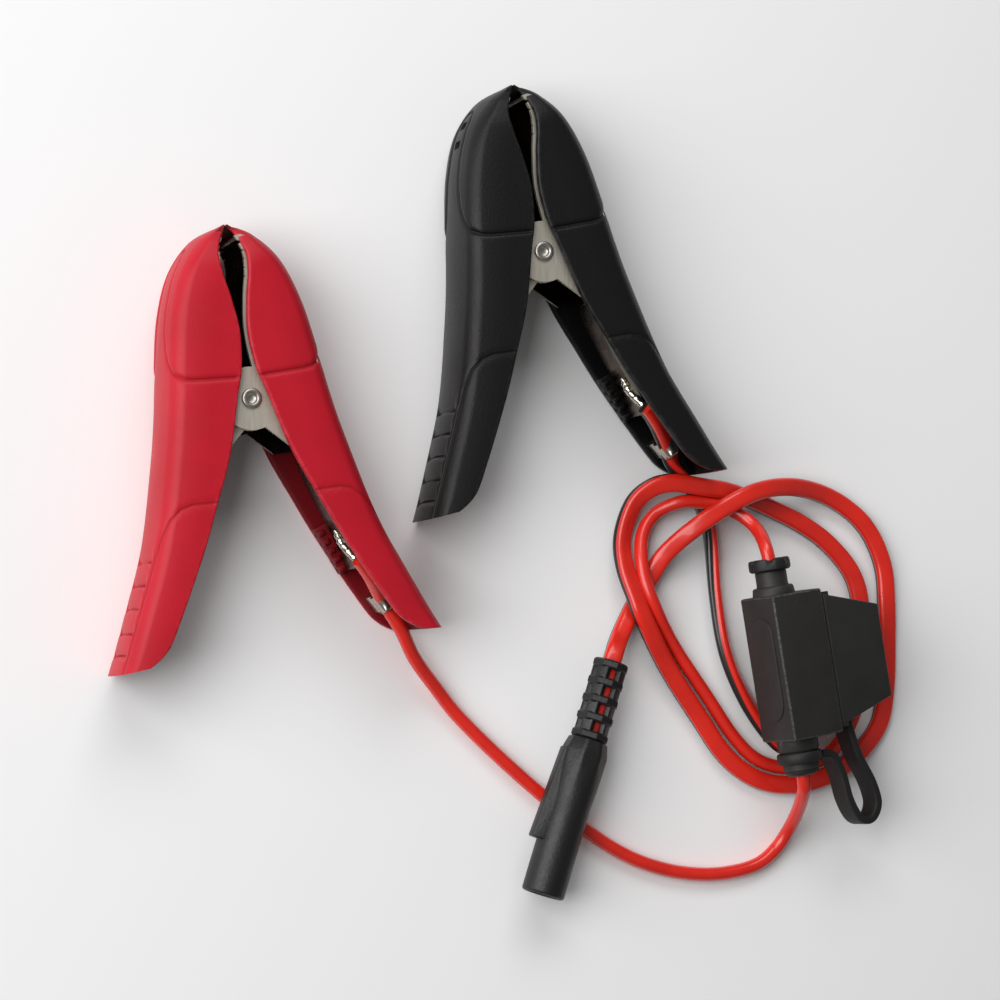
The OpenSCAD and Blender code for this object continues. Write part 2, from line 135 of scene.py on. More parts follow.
def ramp(x, low, high):
    """0 below low, 1 above high, and a soft rise between."""
    t = min(max((x - low) / (high - low), 0), 1)
    return t * t * (3 - 2 * t)


# %% Grids laid on a shape
def laid(rows, columns, place, marks=(), closed=False):
    """A bmesh grid. place(row, column) gives a point and its marks; closed joins the last column to the first."""
    bm = bmesh.new()
    layers = [bm.verts.layers.float.new(name) for name in marks]
    width = columns - (not closed)
    bmesh.ops.create_grid(bm, x_segments=width, y_segments=rows - 1, size=1)
    for v in bm.verts:
        row, column = round((v.co.y + 1) / 2 * (rows - 1)), round((v.co.x + 1) / 2 * width)
        made = place(row, column % columns)
        v.co = made[0] if marks else made
        for layer, value in zip(layers, made[1:] if marks else ()):
            v[layer] = value
    if closed:
        bmesh.ops.remove_doubles(bm, verts=bm.verts, dist=1e-5)
    return bm


def closed_off(bm):
    """Fills the open ends and turns every face outwards."""
    bmesh.ops.holes_fill(bm, edges=[e for e in bm.edges if e.is_boundary], sides=0)
    bmesh.ops.recalc_face_normals(bm, faces=bm.faces)
    return bm


def finished(name, bm, matrix, body, replaces=(), sharp=35, finish=None):
    """Turns a bmesh in millimetres into a piece of the part, at the origin and with its place in its mesh."""
    bm.transform(Matrix.Scale(MM, 4) if matrix is None else matrix)
    if matrix is not None and matrix.determinant() < 0:
        bmesh.ops.reverse_faces(bm, faces=bm.faces)
    mesh = bpy.data.meshes.new(name)
    bm.to_mesh(mesh)
    bm.free()
    mesh.shade_smooth()
    mesh.set_sharp_from_angle(angle=math.radians(sharp))
    piece = bpy.data.objects.new(name, mesh)
    bpy.context.scene.collection.objects.link(piece)
    if body:
        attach(piece, body)
    if replaces:
        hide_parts(*replaces)
    if finish:
        mesh.materials.append(finish)
    print(f"{name}: {len(mesh.polygons)} faces")
    return piece


# %% Tubes
def frames(path):
    """For each point of a path, its direction, its side and its top."""
    upright, made = Vector((0, 0, 1)), []
    for i in range(len(path)):
        ahead = (path[min(i + 1, len(path) - 1)] - path[max(i - 1, 0)]).normalized()
        side = ahead.cross(upright).normalized()
        made.append((ahead, side, side.cross(ahead)))
    return made


def tube(path, section, turn=lambda i: 0, marks=(), value=lambda i, k: (), scale=lambda i: 1):
    """The section, a closed outline, carried along the path and turned about it."""
    axes = frames(path)

    def place(row, column):
        ahead, side, top = axes[row]
        a = turn(row)
        x, y = (c * scale(row) for c in section[column])
        x, y = x * math.cos(a) + y * math.sin(a), y * math.cos(a) - x * math.sin(a)
        point = path[row] + side * x + top * y
        return (point, *value(row, column)) if marks else point

    return closed_off(laid(len(path), len(section), place, marks, closed=True))


def circle(radius, count):
    return [Vector((radius * math.cos(a), radius * math.sin(a))) for a in
            (math.tau * i / count for i in range(count))]


def turned_shape(profile, steps=64):
    """A lathe: the profile's (radius, height) points spun round the Z axis."""
    bm = bmesh.new()
    verts = [bm.verts.new((r, 0, z)) for r, z in profile]
    edges = [bm.edges.new(pair) for pair in zip(verts, verts[1:])]
    bmesh.ops.spin(bm, geom=verts + edges, cent=(0, 0, 0), axis=(0, 0, 1), angle=math.tau, steps=steps,
                   use_merge=True, use_duplicate=False)
    bmesh.ops.remove_doubles(bm, verts=bm.verts, dist=1e-4)
    bmesh.ops.recalc_face_normals(bm, faces=bm.faces)
    return bm


def box(size, middle=(0, 0, 0), rounding=0.0, segments=3):
    bm = bmesh.new()
    bmesh.ops.create_cube(bm, size=1)
    bmesh.ops.scale(bm, vec=size, verts=bm.verts)
    if rounding:
        bmesh.ops.bevel(bm, geom=list(bm.edges), affect="EDGES", offset=rounding, segments=segments, profile=0.5,
                        material=-1)
    bmesh.ops.translate(bm, vec=middle, verts=bm.verts)
    return bm


def joined(*parts):
    """Several bmeshes as one."""
    whole = bmesh.new()
    for part in parts:
        mesh = bpy.data.meshes.new("part")
        part.to_mesh(mesh)
        part.free()
        whole.from_mesh(mesh)
        bpy.data.meshes.remove(mesh)
    return whole


def moved(bm, matrix):
    bm.transform(matrix)
    return bm


def along_y(place=0, side=0):
    """Takes a shape made up the Z axis and lays it along +Y."""
    return Matrix.Translation((side, place, 0)) @ Matrix.Rotation(math.radians(-90), 4, "X")


def against_y(place=0, side=0):
    """The same, along -Y."""
    return Matrix.Translation((side, place, 0)) @ Matrix.Rotation(math.radians(90), 4, "X")

# %% [markdown]
# ## Finishes
# A finish is a small network of shader nodes. Written node by node it is long and hard to read, so one
# class wraps a node's output and lets sums on it read as sums, and another holds the material and
# adds any node from its type, its settings and its inputs.

# %% Shader maths
class Number:
    """A node's output. Sums on it add Math nodes."""

    def __init__(self, finish, socket):
        self.finish, self.socket = finish, socket

    def maths(self, operation, *values):
        return self.finish.node("Math", {"operation": operation}, dict(enumerate(values)))

    def __add__(self, other):
        return self.maths("ADD", self, other)

    def __sub__(self, other):
        return self.maths("SUBTRACT", self, other)

    def __rsub__(self, other):
        return self.maths("SUBTRACT", other, self)

    def __mul__(self, other):
        return self.maths("MULTIPLY", self, other)

    def __abs__(self):
        return self.maths("ABSOLUTE", self)

    __radd__, __rmul__ = __add__, __mul__

    def most(self, other):
        return self.maths("MAXIMUM", self, other)

    def between(self, low, high):
        """0 at low, 1 at high, and a soft rise between; low may be the larger."""
        return self.finish.node("MapRange", {"interpolation_type": "SMOOTHSTEP"},
                                {"Value": self, "From Min": low, "From Max": high})


# %% Materials
class Finish:
    """A material being made. Constants are set on the shader, and what varies is linked to it."""

    def __init__(self, name, **constants):
        self.material = bpy.data.materials.new(name)
        self.material.use_nodes = True
        self.tree = self.material.node_tree
        self.shader = next(n for n in self.tree.nodes if n.type == "BSDF_PRINCIPLED")
        self.surface(**constants)

    def node(self, kind, settings=None, inputs=None, output=0):
        made = self.tree.nodes.new("ShaderNode" + kind)
        for key, value in (settings or {}).items():
            setattr(made, key, value)
        for key, value in (inputs or {}).items():
            self.feed(made.inputs[key], value)
        return Number(self, made.outputs[output])

    def feed(self, socket, value):
        if isinstance(value, Number):
            self.tree.links.new(value.socket, socket)
        elif hasattr(value, "__len__") and len(value) == 3 and socket.type == "RGBA":
            socket.default_value = (*value, 1)
        else:
            socket.default_value = value

    def surface(self, **values):
        """Base_Color=..., Roughness=... and so on: a number or colour is set, and a Number is linked."""
        for key, value in values.items():
            self.feed(self.shader.inputs[key.replace("_", " ")], value)

    def mark(self, name):
        """A value that the piece's points carry."""
        return self.node("Attribute", {"attribute_name": name}, output="Fac")

    def grain(self, size, detail=2.0, roughness=0.5, stretch=(1, 1, 1)):
        """Soft noise from 0 to 1, whose lumps are size millimetres across."""
        where = self.node("TexCoord", output="Object")
        if stretch != (1, 1, 1):
            where = self.node("Mapping", inputs={"Vector": where, "Scale": stretch})
        return self.node("TexNoise", inputs={"Vector": where, "Scale": 1 / (size * MM), "Detail": detail,
                                             "Roughness": roughness})

    def pits(self, size, randomness=1.0):
        """Distance to the nearest of many scattered points, size millimetres apart."""
        where = self.node("TexCoord", output="Object")
        return self.node("TexVoronoi", inputs={"Vector": where, "Scale": 1 / (size * MM), "Randomness": randomness})

    def mix(self, factor, first, second):
        return self.node("Mix", {"data_type": "RGBA"}, {0: factor, 6: first, 7: second}, output=2)

    def bump(self, height, depth, strength=1.0):
        """Relief of depth millimetres, in the shading only."""
        return self.node("Bump", inputs={"Height": height, "Distance": depth * MM, "Strength": strength})


# %% [markdown]
# ### Moulded covers
# The handle covers are soft-touch PVC from a spark-eroded mould, which leaves a fine even grain that
# breaks highlights up. Two moulded lines cross each cover. Their places are marks on its points, as
# signed distances, so the shader can draw them far finer than the mesh, with painted shade in them
# and under the ribs. The edges of the rim are painted a little paler in patches, partly wear and
# partly a painted highlight, and the inside of the channel is painted dark as painted shade.

# %% Cover finish
def cover_finish(name, colour, deep, wear_and_sheen, rough, grain_depth):
    f = Finish(name, IOR=1.48, Specular_IOR_Level=0.3)
    lines = (0.5 - abs(f.mark("nose_line"))).most(0.5 - abs(f.mark("grip_line")))
    line = lines.most(0.45 - f.mark("rib")).between(0, 0.42)
    clouds = f.grain(16, 3).between(0.3, 0.75)
    fine = f.grain(0.42, 3, 0.6)
    tone = f.mix(clouds * 0.35, colour, deep)
    # The edges of the rim are painted paler in patches: partly wear, partly a painted highlight where the rim catches
    # the light.
    tone = f.mix(f.mark("edge").between(1.1, 0.1) * f.grain(1.6, 3).between(0.35, 0.7) * 0.5, tone, wear_and_sheen)
    # The moulded lines and the creases under the ribs are painted darker: painted shade in the grooves.
    tone = f.mix(line * 0.75, tone, deep)
    # The inside of the channel is painted much darker: painted shade under the top wall.
    tone = f.mix(f.mark("run").between(44, 49) * 0.8, tone, [c * 0.35 for c in deep])
    scuffs = f.grain(2.2, 4, 0.7, (1, 5, 1)).between(0.62, 0.8)
    f.surface(Base_Color=tone,
              Roughness=rough + fine * 0.16 + clouds * 0.05 + line * 0.2 - scuffs * 0.08,
              Normal=f.bump(fine + f.pits(0.55) * 0.5 - line * 4, grain_depth))
    return f.material


RED_COVER = cover_finish("red_cover_moulding", (0.52, 0.008, 0.022), (0.33, 0.004, 0.010), (0.62, 0.05, 0.07), 0.37,
                         0.022)
BLACK_COVER = cover_finish("black_cover_moulding", (0.006, 0.006, 0.006), (0.003, 0.003, 0.003),
                           (0.035, 0.035, 0.035), 0.34, 0.05)

# %% [markdown]
# ### Insulation
# The leads are glossy plasticised PVC. Extruded insulation is smooth, with faint long waves from the
# die and from handling, and picks up small dull scuffs. The flat cable is a red half bonded on a
# black one. Which half a point belongs to is a mark that runs round the section, so the colours
# follow every twist of the cable.

# %% Insulation finishes
WIRE_RED, WIRE_DEEP = (0.80, 0.022, 0.010), (0.58, 0.010, 0.005)


def insulation(name, layered):
    f = Finish(name, IOR=1.5, Coat_Roughness=0.12, Coat_IOR=1.5)
    clouds = f.grain(9, 3).between(0.3, 0.72)
    tone = f.mix(clouds * 0.5, WIRE_RED, WIRE_DEEP)
    if layered:
        layer = f.mark("layer")
        tone = f.mix(layer.between(0.03, -0.03), tone, (0.012, 0.011, 0.011))
        tone = f.mix(abs(layer).between(0.1, 0.0) * 0.6, tone, (0.05, 0.003, 0.002))
    scuffs = f.grain(1.1, 4, 0.7).between(0.6, 0.75)
    waves = f.grain(3.2, 2)
    f.surface(Base_Color=tone, Roughness=0.3 + clouds * 0.06 + scuffs * 0.18,
              Coat_Weight=0.45 - scuffs * 0.3, Normal=f.bump(waves + f.grain(0.3, 2) * 0.12, 0.05))
    return f.material


WIRE = insulation("red_insulation", False)
TWIN = insulation("twin_insulation", True)


# %% [markdown]
# ### Black mouldings
# Holder, cap and connector are harder nylon and PVC. Nylon from a coarse mould is matt with a
# visible grain. Its outside corners are painted with a grey line, partly rubbed wear and partly a
# painted highlight where the edges catch the light. The strap and the bushes are softer and rougher.

# %% Black plastics
def moulding(name, tone, rough, grain_size, grain_depth, wear_and_sheen=(0.045, 0.045, 0.044), **constants):
    f = Finish(name, IOR=1.5, **constants)
    fine = f.grain(grain_size, 3, 0.6)
    clouds = f.grain(7, 3).between(0.3, 0.7)
    specks = f.pits(1.9).between(0.12, 0.03) * f.grain(5, 2).between(0.52, 0.62)
    colour = f.mix(clouds * 0.5, tone, [c * 0.55 for c in tone])
    colour = f.mix(specks * 0.5, colour, wear_and_sheen)
    # The marked corners get a pale grey line: partly rubbed wear, partly a painted highlight.
    colour = f.mix(f.mark("wear_and_sheen").between(0.2, 1.0) * f.grain(0.5, 3).between(0.35, 0.65) * 0.85, colour, wear_and_sheen)
    f.surface(Base_Color=colour, Roughness=rough + fine * 0.2 + clouds * 0.06,
              Normal=f.bump(fine + f.pits(grain_size * 1.5) * 0.4, grain_depth))
    return f.material


HOLDER = moulding("holder_nylon", (0.024, 0.023, 0.021), 0.42, 0.3, 0.009, (0.085, 0.083, 0.078),
                  Specular_IOR_Level=0.4)
CAP = moulding("cap_nylon", (0.022, 0.0215, 0.02), 0.44, 0.3, 0.008, Specular_IOR_Level=0.4)
RUBBER = moulding("soft_rubber", (0.008, 0.008, 0.008), 0.44, 0.55, 0.06)
STRAP = moulding("strap_rubber", (0.007, 0.007, 0.007), 0.5, 0.4, 0.03)
CONNECTOR = moulding("connector_pvc", (0.0085, 0.0085, 0.0085), 0.33, 0.55, 0.06)


# %% [markdown]
# ### Metals
# The jaws are mild steel, nickel plated. Rolled sheet carries fine lines along the strip and the
# plating has cloudy patches. The rivet is bright, the spring is dark tempered steel, and the solder
# froze in soft ripples.

# %% Metal finishes
def metal(name, tone, dull, rough, lines=0.25, ripple=0.0, relief=0.01, stretch=(1, 0.08, 1)):
    f = Finish(name, Metallic=1.0)
    clouds = f.grain(4.5, 4).between(0.32, 0.7)
    drawn = f.grain(0.5, 3, 0.6, stretch)
    spots = f.grain(0.9, 4, 0.7).between(0.62, 0.75)
    colour = f.mix(clouds * 0.6, tone, dull)
    colour = f.mix(spots * 0.5, colour, [c * 0.45 for c in dull])
    f.surface(Base_Color=colour, Roughness=rough + drawn * lines + clouds * 0.08 + spots * 0.15,
              Normal=f.bump(drawn + f.grain(1.2, 3) * ripple, relief))
    return f.material


NICKEL = metal("nickel_plate", (0.70, 0.66, 0.57), (0.52, 0.48, 0.40), 0.4)
TONGUE = metal("tongue_nickel", (0.58, 0.53, 0.46), (0.40, 0.36, 0.31), 0.16, 0.16)
# Dark brown nickel for the inward faces of the jaws: painted shade and a painted dark reflection inside the channel.
SHADED_NICKEL = metal("nickel_painted_shade", (0.15, 0.11, 0.085), (0.045, 0.032, 0.026), 0.12, 0.2, 0.1)
RIVET = metal("rivet_nickel", (0.52, 0.50, 0.46), (0.36, 0.34, 0.32), 0.28, 0.15, stretch=(1, 1, 1))
SPRING = metal("spring_steel", (0.22, 0.21, 0.20), (0.12, 0.11, 0.10), 0.3)
SOLDER = metal("solder", (0.72, 0.69, 0.60), (0.50, 0.46, 0.38), 0.16, 0.12, 2.5, 0.06, (1, 1, 1))
TIN = metal("tin_plate", (0.62, 0.61, 0.59), (0.45, 0.44, 0.42), 0.3)
BRASS = metal("brass", (0.72, 0.52, 0.22), (0.48, 0.33, 0.13), 0.24)


# %% Fuse finish
def fuse_plastic():
    f = Finish("fuse_plastic", IOR=1.55, Transmission_Weight=0.15)
    clouds = f.grain(5, 2).between(0.3, 0.7)
    f.surface(Base_Color=f.mix(clouds, (0.55, 0.05, 0.02), (0.42, 0.03, 0.015)), Roughness=0.22 + clouds * 0.1,
              Normal=f.bump(f.grain(0.8, 2), 0.01))
    return f.material


FUSE = fuse_plastic()

# %% [markdown]
# ## Where things are
# The clamps, the holder and the connector each have a frame of their own in which they are modelled.
# A clamp's pivot is read from its hinge in the record. Each frame becomes one matrix.

# %% Frames of the pieces
hinge = {j["name"]: Vector(j["pos_m"]) / MM for j in frame["joints"] if j["type"] == "hinge"}
CLAMPS = {"red": (hinge["red_clamp_hinge"], 8.6), "black": (hinge["black_clamp_hinge"], 10.3)}
HOLDER_AT, HOLDER_TURN, HOLDER_ROLL = Vector((67, -46.3, 15.5)), 9.5, 10
CONNECTOR_AT, CONNECTOR_TURN = Vector((7.2, -98.9, 8.6)), -17.9
NECK_X, HOLDER_L, NECK_L = -1.8, 34, 7.4
HOUSING_L, RELIEF_L = 37, 19


def turned(place, degrees, roll=0):
    return (Matrix.Translation(place) @ Matrix.Rotation(math.radians(degrees), 4, "Z")
            @ Matrix.Rotation(math.radians(roll), 4, "Y"))


def clamp_matrix(colour, free=False):
    place, turn = CLAMPS[colour]
    return (Matrix.Scale(MM, 4) @ turned((place.x, place.y, 0), turn)
            @ Matrix.Diagonal((-1 if free else 1, 1, 1, 1)))


HOLDER_MATRIX = Matrix.Scale(MM, 4) @ turned(HOLDER_AT, HOLDER_TURN, HOLDER_ROLL)
CONNECTOR_MATRIX = Matrix.Scale(MM, 4) @ turned(CONNECTOR_AT, CONNECTOR_TURN)


def on_clamp(colour, point):
    return turned((*CLAMPS[colour][0].xy, 0), CLAMPS[colour][1]) @ Vector(point)


def on_connector(y):
    return turned(CONNECTOR_AT, CONNECTOR_TURN) @ Vector((0, y, 0))


def on_holder(y):
    return turned(HOLDER_AT, HOLDER_TURN, HOLDER_ROLL) @ Vector((NECK_X, y, 0))


for name in CLAMPS:
    print(name, "clamp's pivot", [round(x, 1) for x in CLAMPS[name][0]])

# %% [markdown]
# ## Cables
# A cable is a fixed length of something springy. The flat cable leaves the connector, goes twice
# round as it was shaken out of its bag, and ends in the black clamp. The fuse's feed wire runs beside
# it, and the positive wire crosses under the connector to the red clamp. Each is a tube on one smooth
# line whose lowest points touch the floor.

# %% Routes of the cables
INNER_RUN = [(20.4, -38.4, 15.8), (23.2, -42.2, 13.4), (27, -48.2, 8.2), (30.5, -55, 7.4)]
WIRE_START = 15.3

twin_route = [on_connector(HOUSING_L), on_connector(HOUSING_L + RELIEF_L)] + [
    Vector(p) for p in [
        (28, -39.5, 4.8), (33, -32, 1.7), (36.5, -26, 2), (40, -20, 4), (45, -14.5, 8.5), (52, -9.5, 10.2),
        (61, -5.2, 9.5), (71, -3.6, 6.5), (81, -4.8, 3), (89, -8.5, 1.7), (94.5, -14, 1.7), (98, -22, 1.7),
        (98.8, -31, 1.7), (98.8, -41, 1.7), (98.4, -51, 1.7), (96.5, -60, 1.7), (90.5, -67.5, 1.7),
        (82.5, -72.5, 1.7), (73, -74.5, 1.7), (64, -73, 1.7), (56, -67.5, 1.7), (49, -58, 1.7), (41, -47, 2.8),
        (34, -36, 5.6),
        (31.8, -30.5, 5.4), (29.8, -23, 3.4), (29.8, -16, 2), (32, -8.5, 3.4), (36, -4.6, 5.4), (41, -3.4, 6.8),
        (47.5, -4.2, 7), (54, -4.9, 6.2), (61, -6.4, 4.2), (68, -8.6, 2.4), (76, -12, 1.7), (83, -16.5, 1.7),
        (89, -23, 1.7), (91.5, -30, 1.7), (91.2, -38, 1.7), (89, -46, 1.7), (84, -54.5, 1.7), (78, -62, 1.7),
        (72.6, -65.4, 1.7), (67.5, -62.5, 1.7), (61, -54, 1.7), (56, -43, 1.7), (53.4, -29, 1.7), (52.2, -16, 1.7),
        (50.6, -10, 1.8), (48.6, -6.4, 2.6), (45.4, -3, 3.7), (41.2, 1, 5.6)]
] + [on_clamp("black", INNER_RUN[i]) for i in (2, 1, 0)]

feed_route = [on_holder(WIRE_START), on_holder(HOLDER_L / 2 + 10)] + [
    Vector(p) for p in [
        (60.2, -13.5, 10), (55.6, -9.4, 6.6), (49.5, -8, 6), (43.5, -7.8, 5.4), (38, -10.4, 2.8), (34.4, -16, 3),
        (33.8, -24, 4.8), (36.2, -32, 5.7), (42.4, -41.5, 2.8), (51, -53, 1.7), (58.6, -63.5, 1.7),
        (65, -68.8, 1.7), (73, -70.4, 1.7), (81, -68.4, 1.7), (87, -63, 1.7), (91, -55, 1.7), (93.4, -46, 1.9)]
]

positive_route = [on_holder(-WIRE_START), on_holder(-HOLDER_L / 2 - 9.4)] + [
    Vector(p) for p in [
        (70.6, -76, 13.8), (71.6, -80.5, 8.5), (71.4, -85, 3.8), (69, -89.5, 1.8), (64.5, -93, 1.7), (58, -94.8, 1.7),
        (50, -95.3, 1.7), (40.5, -94, 1.7), (30.5, -90.5, 1.7), (20, -84.2, 1.7), (9, -75.8, 1.7), (-2, -66.5, 1.7),
        (-11, -58, 1.7), (-16.5, -51.8, 2.8), (-22.5, -45, 5.2)]
] + [on_clamp("red", INNER_RUN[i]) for i in (3, 2, 1, 0)]


# %% Round wires
WIRE_D, OFF_FLOOR = 3.2, 0.05


def lead(name, route, node):
    line = evenly(smooth(route, 8), 0.8)
    for p in line:
        p.z = max(p.z, WIRE_D / 2 + OFF_FLOOR)
    bm = tube(line, circle(WIRE_D / 2, 20))
    piece = finished(name, bm, None, "lead_set", [node], 60, WIRE)
    length = length_of(line) * MM
    line[0] * MM
    [p * MM for p in line]
    print(name, "is", round(length * 1000), "mm long")


lead("positive_lead", positive_route, "positive_wire")
lead("fuse_feed_lead", feed_route, "fuse_feed_wire")

# %% [markdown]
# ### The flat cable
# Its section is a wide flat oval with a nick on each side where the two halves are bonded. It lies
# flat on the outer loop, and turns up on its edge on the way to the black clamp, so the black half
# shows on the outside of the curve. On edge it is taller, so its line is lifted to stay on the floor.

# %% Flat cable
TWIN_W, TWIN_T = 4.4, 3.2
# How far the cable has turned, in degrees, at places along its route's list of points
TWIN_TURNS = [(0, -14), (6, -14), (9, 0), (12, 7), (17, 7), (20, 2), (22, -9), (24, -6), (26, 14), (28, 26),
              (30, 16), (33, 0), (36, 0), (39, 14), (43, 18), (47, 56), (50, 84), (52, 80), (54, 24), (56, 8)]


def twin_turn(place):
    for (a, low), (b, high) in zip(TWIN_TURNS, TWIN_TURNS[1:]):
        if place <= b:
            return math.radians(low + (high - low) * ramp(place, a, b))
    return math.radians(TWIN_TURNS[-1][1])


def twin_section(count=36):
    made = []
    for i in range(count):
        a = math.tau * (i + 0.5) / count
        x = math.copysign(abs(math.cos(a)) ** 0.55, math.cos(a))
        y = math.copysign(abs(math.sin(a)) ** 0.75, math.sin(a))
        nick = 0.16 * math.exp(-(y * TWIN_T / 2 / 0.3) ** 2)
        made.append(Vector(((TWIN_W / 2) * x * (1 - nick), TWIN_T / 2 * y)))
    return made


def flat_cable():
    steps = 8
    turns = [twin_turn(i / steps) for i in range((len(twin_route) - 1) * steps + 1)]
    line = smooth(twin_route, steps)
    section = twin_section()
    for p, a in zip(line, turns):
        p.z = max(p.z, max(v.x * math.sin(a) + v.y * math.cos(a) for v in section) + 0.03)
    bm = tube(line, section, lambda i: turns[i], ("layer",), lambda i, k: (section[k].y / (TWIN_T / 2),))
    piece = finished("twin_lead", bm, None, "lead_set", ["twin_cable"], 60, TWIN)
    return piece, line


twin_lead, twin_line = flat_cable()

# %% [markdown]
# ## Clamp covers
# Each handle is a moulded channel. Its back is gently crowned, with soft shoulders, and its two side
# walls run to a thin rim. The shell is one grid: every row is the whole outline of the channel, out
# over the back and home along the inside, and every column runs from the nose to the handle's end.
# So wall, rim and mouth come out in one piece, and the moulded lines and ribs are moves of its points
# along the outline's own normals.

# %% Outline of the cover
COVER_D, WALL = 22, 1.8
BACK = [(0.5, 39), (6.6, 36.6), (12, 30.4), (15.6, 21.2), (17.7, 10.7), (19.2, 0.2), (21.7, -11.6), (26.2, -28.8),
        (31.8, -42.6), (37.6, -56)]
RIM = [(0.25, 38.8), (2.9, 33), (2.9, 28), (1.8, 22.5), (0.9, 15), (1.6, 7), (3.3, 1), (6.8, -11.5), (11.3, -22.3),
       (16.1, -33), (24.3, -48.7), (27.4, -53), (31, -55.4)]
# Places on the back and on the rim that face each other across the side wall
FACING = [(0, 0), (1, 0.75), (2, 2), (3, 3.35), (4, 4.65), (5, 5.9), (6, 7.3), (7, 8.95), (8, 9.85), (9, 12)]
CROWN, BELLY, SHOULDER, LIP = 1.6, 1.1, 2.9, 0.5
# Marks that hold the place of no line, and of a point on the inside
NO_LINE, INSIDE = 9, 50


def opposite(place):
    for (a, low), (b, high) in zip(FACING, FACING[1:]):
        if place <= b:
            return low + (high - low) * (place - a) / (b - a)


def channel(reach, shrink):
    """The channel's section, outside then inside: (depth from the back, height, normal, run from its middle)."""
    shoulder = min(SHOULDER, 0.45 * reach)
    wall = min(WALL, 0.35 * reach)
    lip = min(LIP, 0.45 * wall)
    made = []

    def arc(depth, height, radius, start, end, steps, run, ends=(0, 1)):
        for i in range(ends[0], steps + ends[1]):
            a = math.radians(start + (end - start) * i / steps)
            made.append((depth + radius * math.cos(a), height + radius * math.sin(a), (math.cos(a), math.sin(a)),
                         run + radius * math.radians(abs(end - start)) * i / steps))

    def straight(a, b, steps, normal, run):
        span = math.hypot(b[0] - a[0], b[1] - a[1])
        for i in range(1, steps):
            t = i / steps
            made.append((a[0] + (b[0] - a[0]) * t, a[1] + (b[1] - a[1]) * t, normal, run + span * t))

    low, high = shrink, COVER_D - shrink
    half = (high - low) / 2
    side_run, arc_run = reach - shoulder, math.pi / 2 * shoulder
    start = -(half - shoulder) - arc_run - side_run
    # outside: lower lip, lower wall, shoulder, back, shoulder, upper wall, upper lip
    arc(reach - lip, low + lip, lip, 0, -90, 3, start)
    straight((reach - lip, low), (shoulder, low), 26, (0, -1), start)
    arc(shoulder, low + shoulder, shoulder, -90, -180, 9, start + side_run)
    straight((0, low + shoulder), (0, high - shoulder), 34, (-1, 0), -(half - shoulder))
    arc(shoulder, high - shoulder, shoulder, 180, 90, 9, half - shoulder)
    straight((shoulder, high), (reach - lip, high), 26, (0, 1), half - shoulder + arc_run)
    arc(reach - lip, high - lip, lip, 90, 0, 3, -start)
    outside = len(made)
    inner = max(shoulder - wall, 0.3)
    arc(reach - lip, high - wall + lip, lip, 0, -90, 3, INSIDE)
    straight((reach - lip, high - wall), (wall + inner, high - wall), 12, (0, -1), INSIDE)
    arc(wall + inner, high - wall - inner, inner, 90, 180, 4, INSIDE)
    straight((wall, high - wall - inner), (wall, low + wall + inner), 12, (1, 0), INSIDE)
    arc(wall + inner, low + wall + inner, inner, 180, 270, 4, INSIDE)
    straight((wall + inner, low + wall), (reach - lip, low + wall), 12, (0, 1), INSIDE)
    arc(reach - lip, low + wall - lip, lip, 90, 0, 3, INSIDE)
    crown = min(CROWN, 0.3 * reach)
    shaped = []
    for i, (d, h, n, r) in enumerate(made):
        up = (h - COVER_D / 2) / half
        sink = BELLY * max(1 - d / 10, 0) ** 2 * up if i < outside else 0
        bow = crown * up ** 2 * max(1 - d / reach, 0) ** 2 * (1 if i < outside else 0.6)
        shaped.append((d + bow, h - sink, n, r))
    return shaped, outside


print("points round the channel:", len(channel(15, 0)[0]))


# %% Moulded lines and ribs
# Each line is a list of (place along the handle, run round the outline from the middle of the back)
NOSE_LINE = [(4.4, 40), (4.8, 24), (5.2, 15), (5.6, 12.4), (7, 9.3), (9.6, 7), (12.6, 5.4), (17, 4.4), (22, 4),
             (28, 4), (32, 3.7), (34, 2.6), (34.8, 1.2), (35, -1)]
GRIP_LINE = [(-22, 40), (-21.8, 20), (-21.7, 16.5), (-22.4, 13.6), (-24.4, 11), (-28, 9.3), (-33, 8.5),
             (-42, 8.2), (-60, 8)]
RIBS = 5
COVER_MARKS = ("nose_line", "grip_line", "rib", "edge", "run")


def signed_distance(line, y, run):
    """Distance to a line, above 0 on its right-hand side."""
    best, sign, p = 1e9, 1, Vector((y, run))
    for a, b in zip(line, line[1:]):
        a, b = Vector(a), Vector(b)
        d = b - a
        t = min(max((p - a).dot(d) / d.length_squared, 0), 1)
        away = p - (a + d * t)
        if away.length < best - 1e-9:
            best, sign = away.length, 1 if d.x * away.y - d.y * away.x < 0 else -1
    return best * sign


def notch(distance, width):
    return math.exp(-(distance / width) ** 2)


def rib_distance(y, run, i):
    """How far above the foot of finger rib i, an arc that falls a little towards the shoulders."""
    return y - (-32.2 - 4.9 * i - 0.5 * (run / 7) ** 2)


def relief(y, run, nose, grip):
    """How far the outside is pressed in, in millimetres."""
    deep = 0.34 * notch(nose, 0.5) + 0.3 * notch(grip, 0.5)
    # the strip along the back stands a little proud of the nose
    deep += 0.22 * ramp(nose, -1.4, 0.1) * ramp(y, 3, 9)
    for i in range(RIBS):
        e = rib_distance(y, run, i)
        deep += 0.95 * ramp(run, 7.6, 6.2) * math.exp(-e / 1.1 if e > 0 else -(e / 0.35) ** 2)
    return deep


# %% Cover
def nose_shrink(y):
    """How much lower the side walls are at the nose, which is rounded like the bow of a boat."""
    t = min(max((y - 30.5) / 8, 0), 1)
    return 3.4 * (1 - math.sqrt(1 - t * t * 0.999))


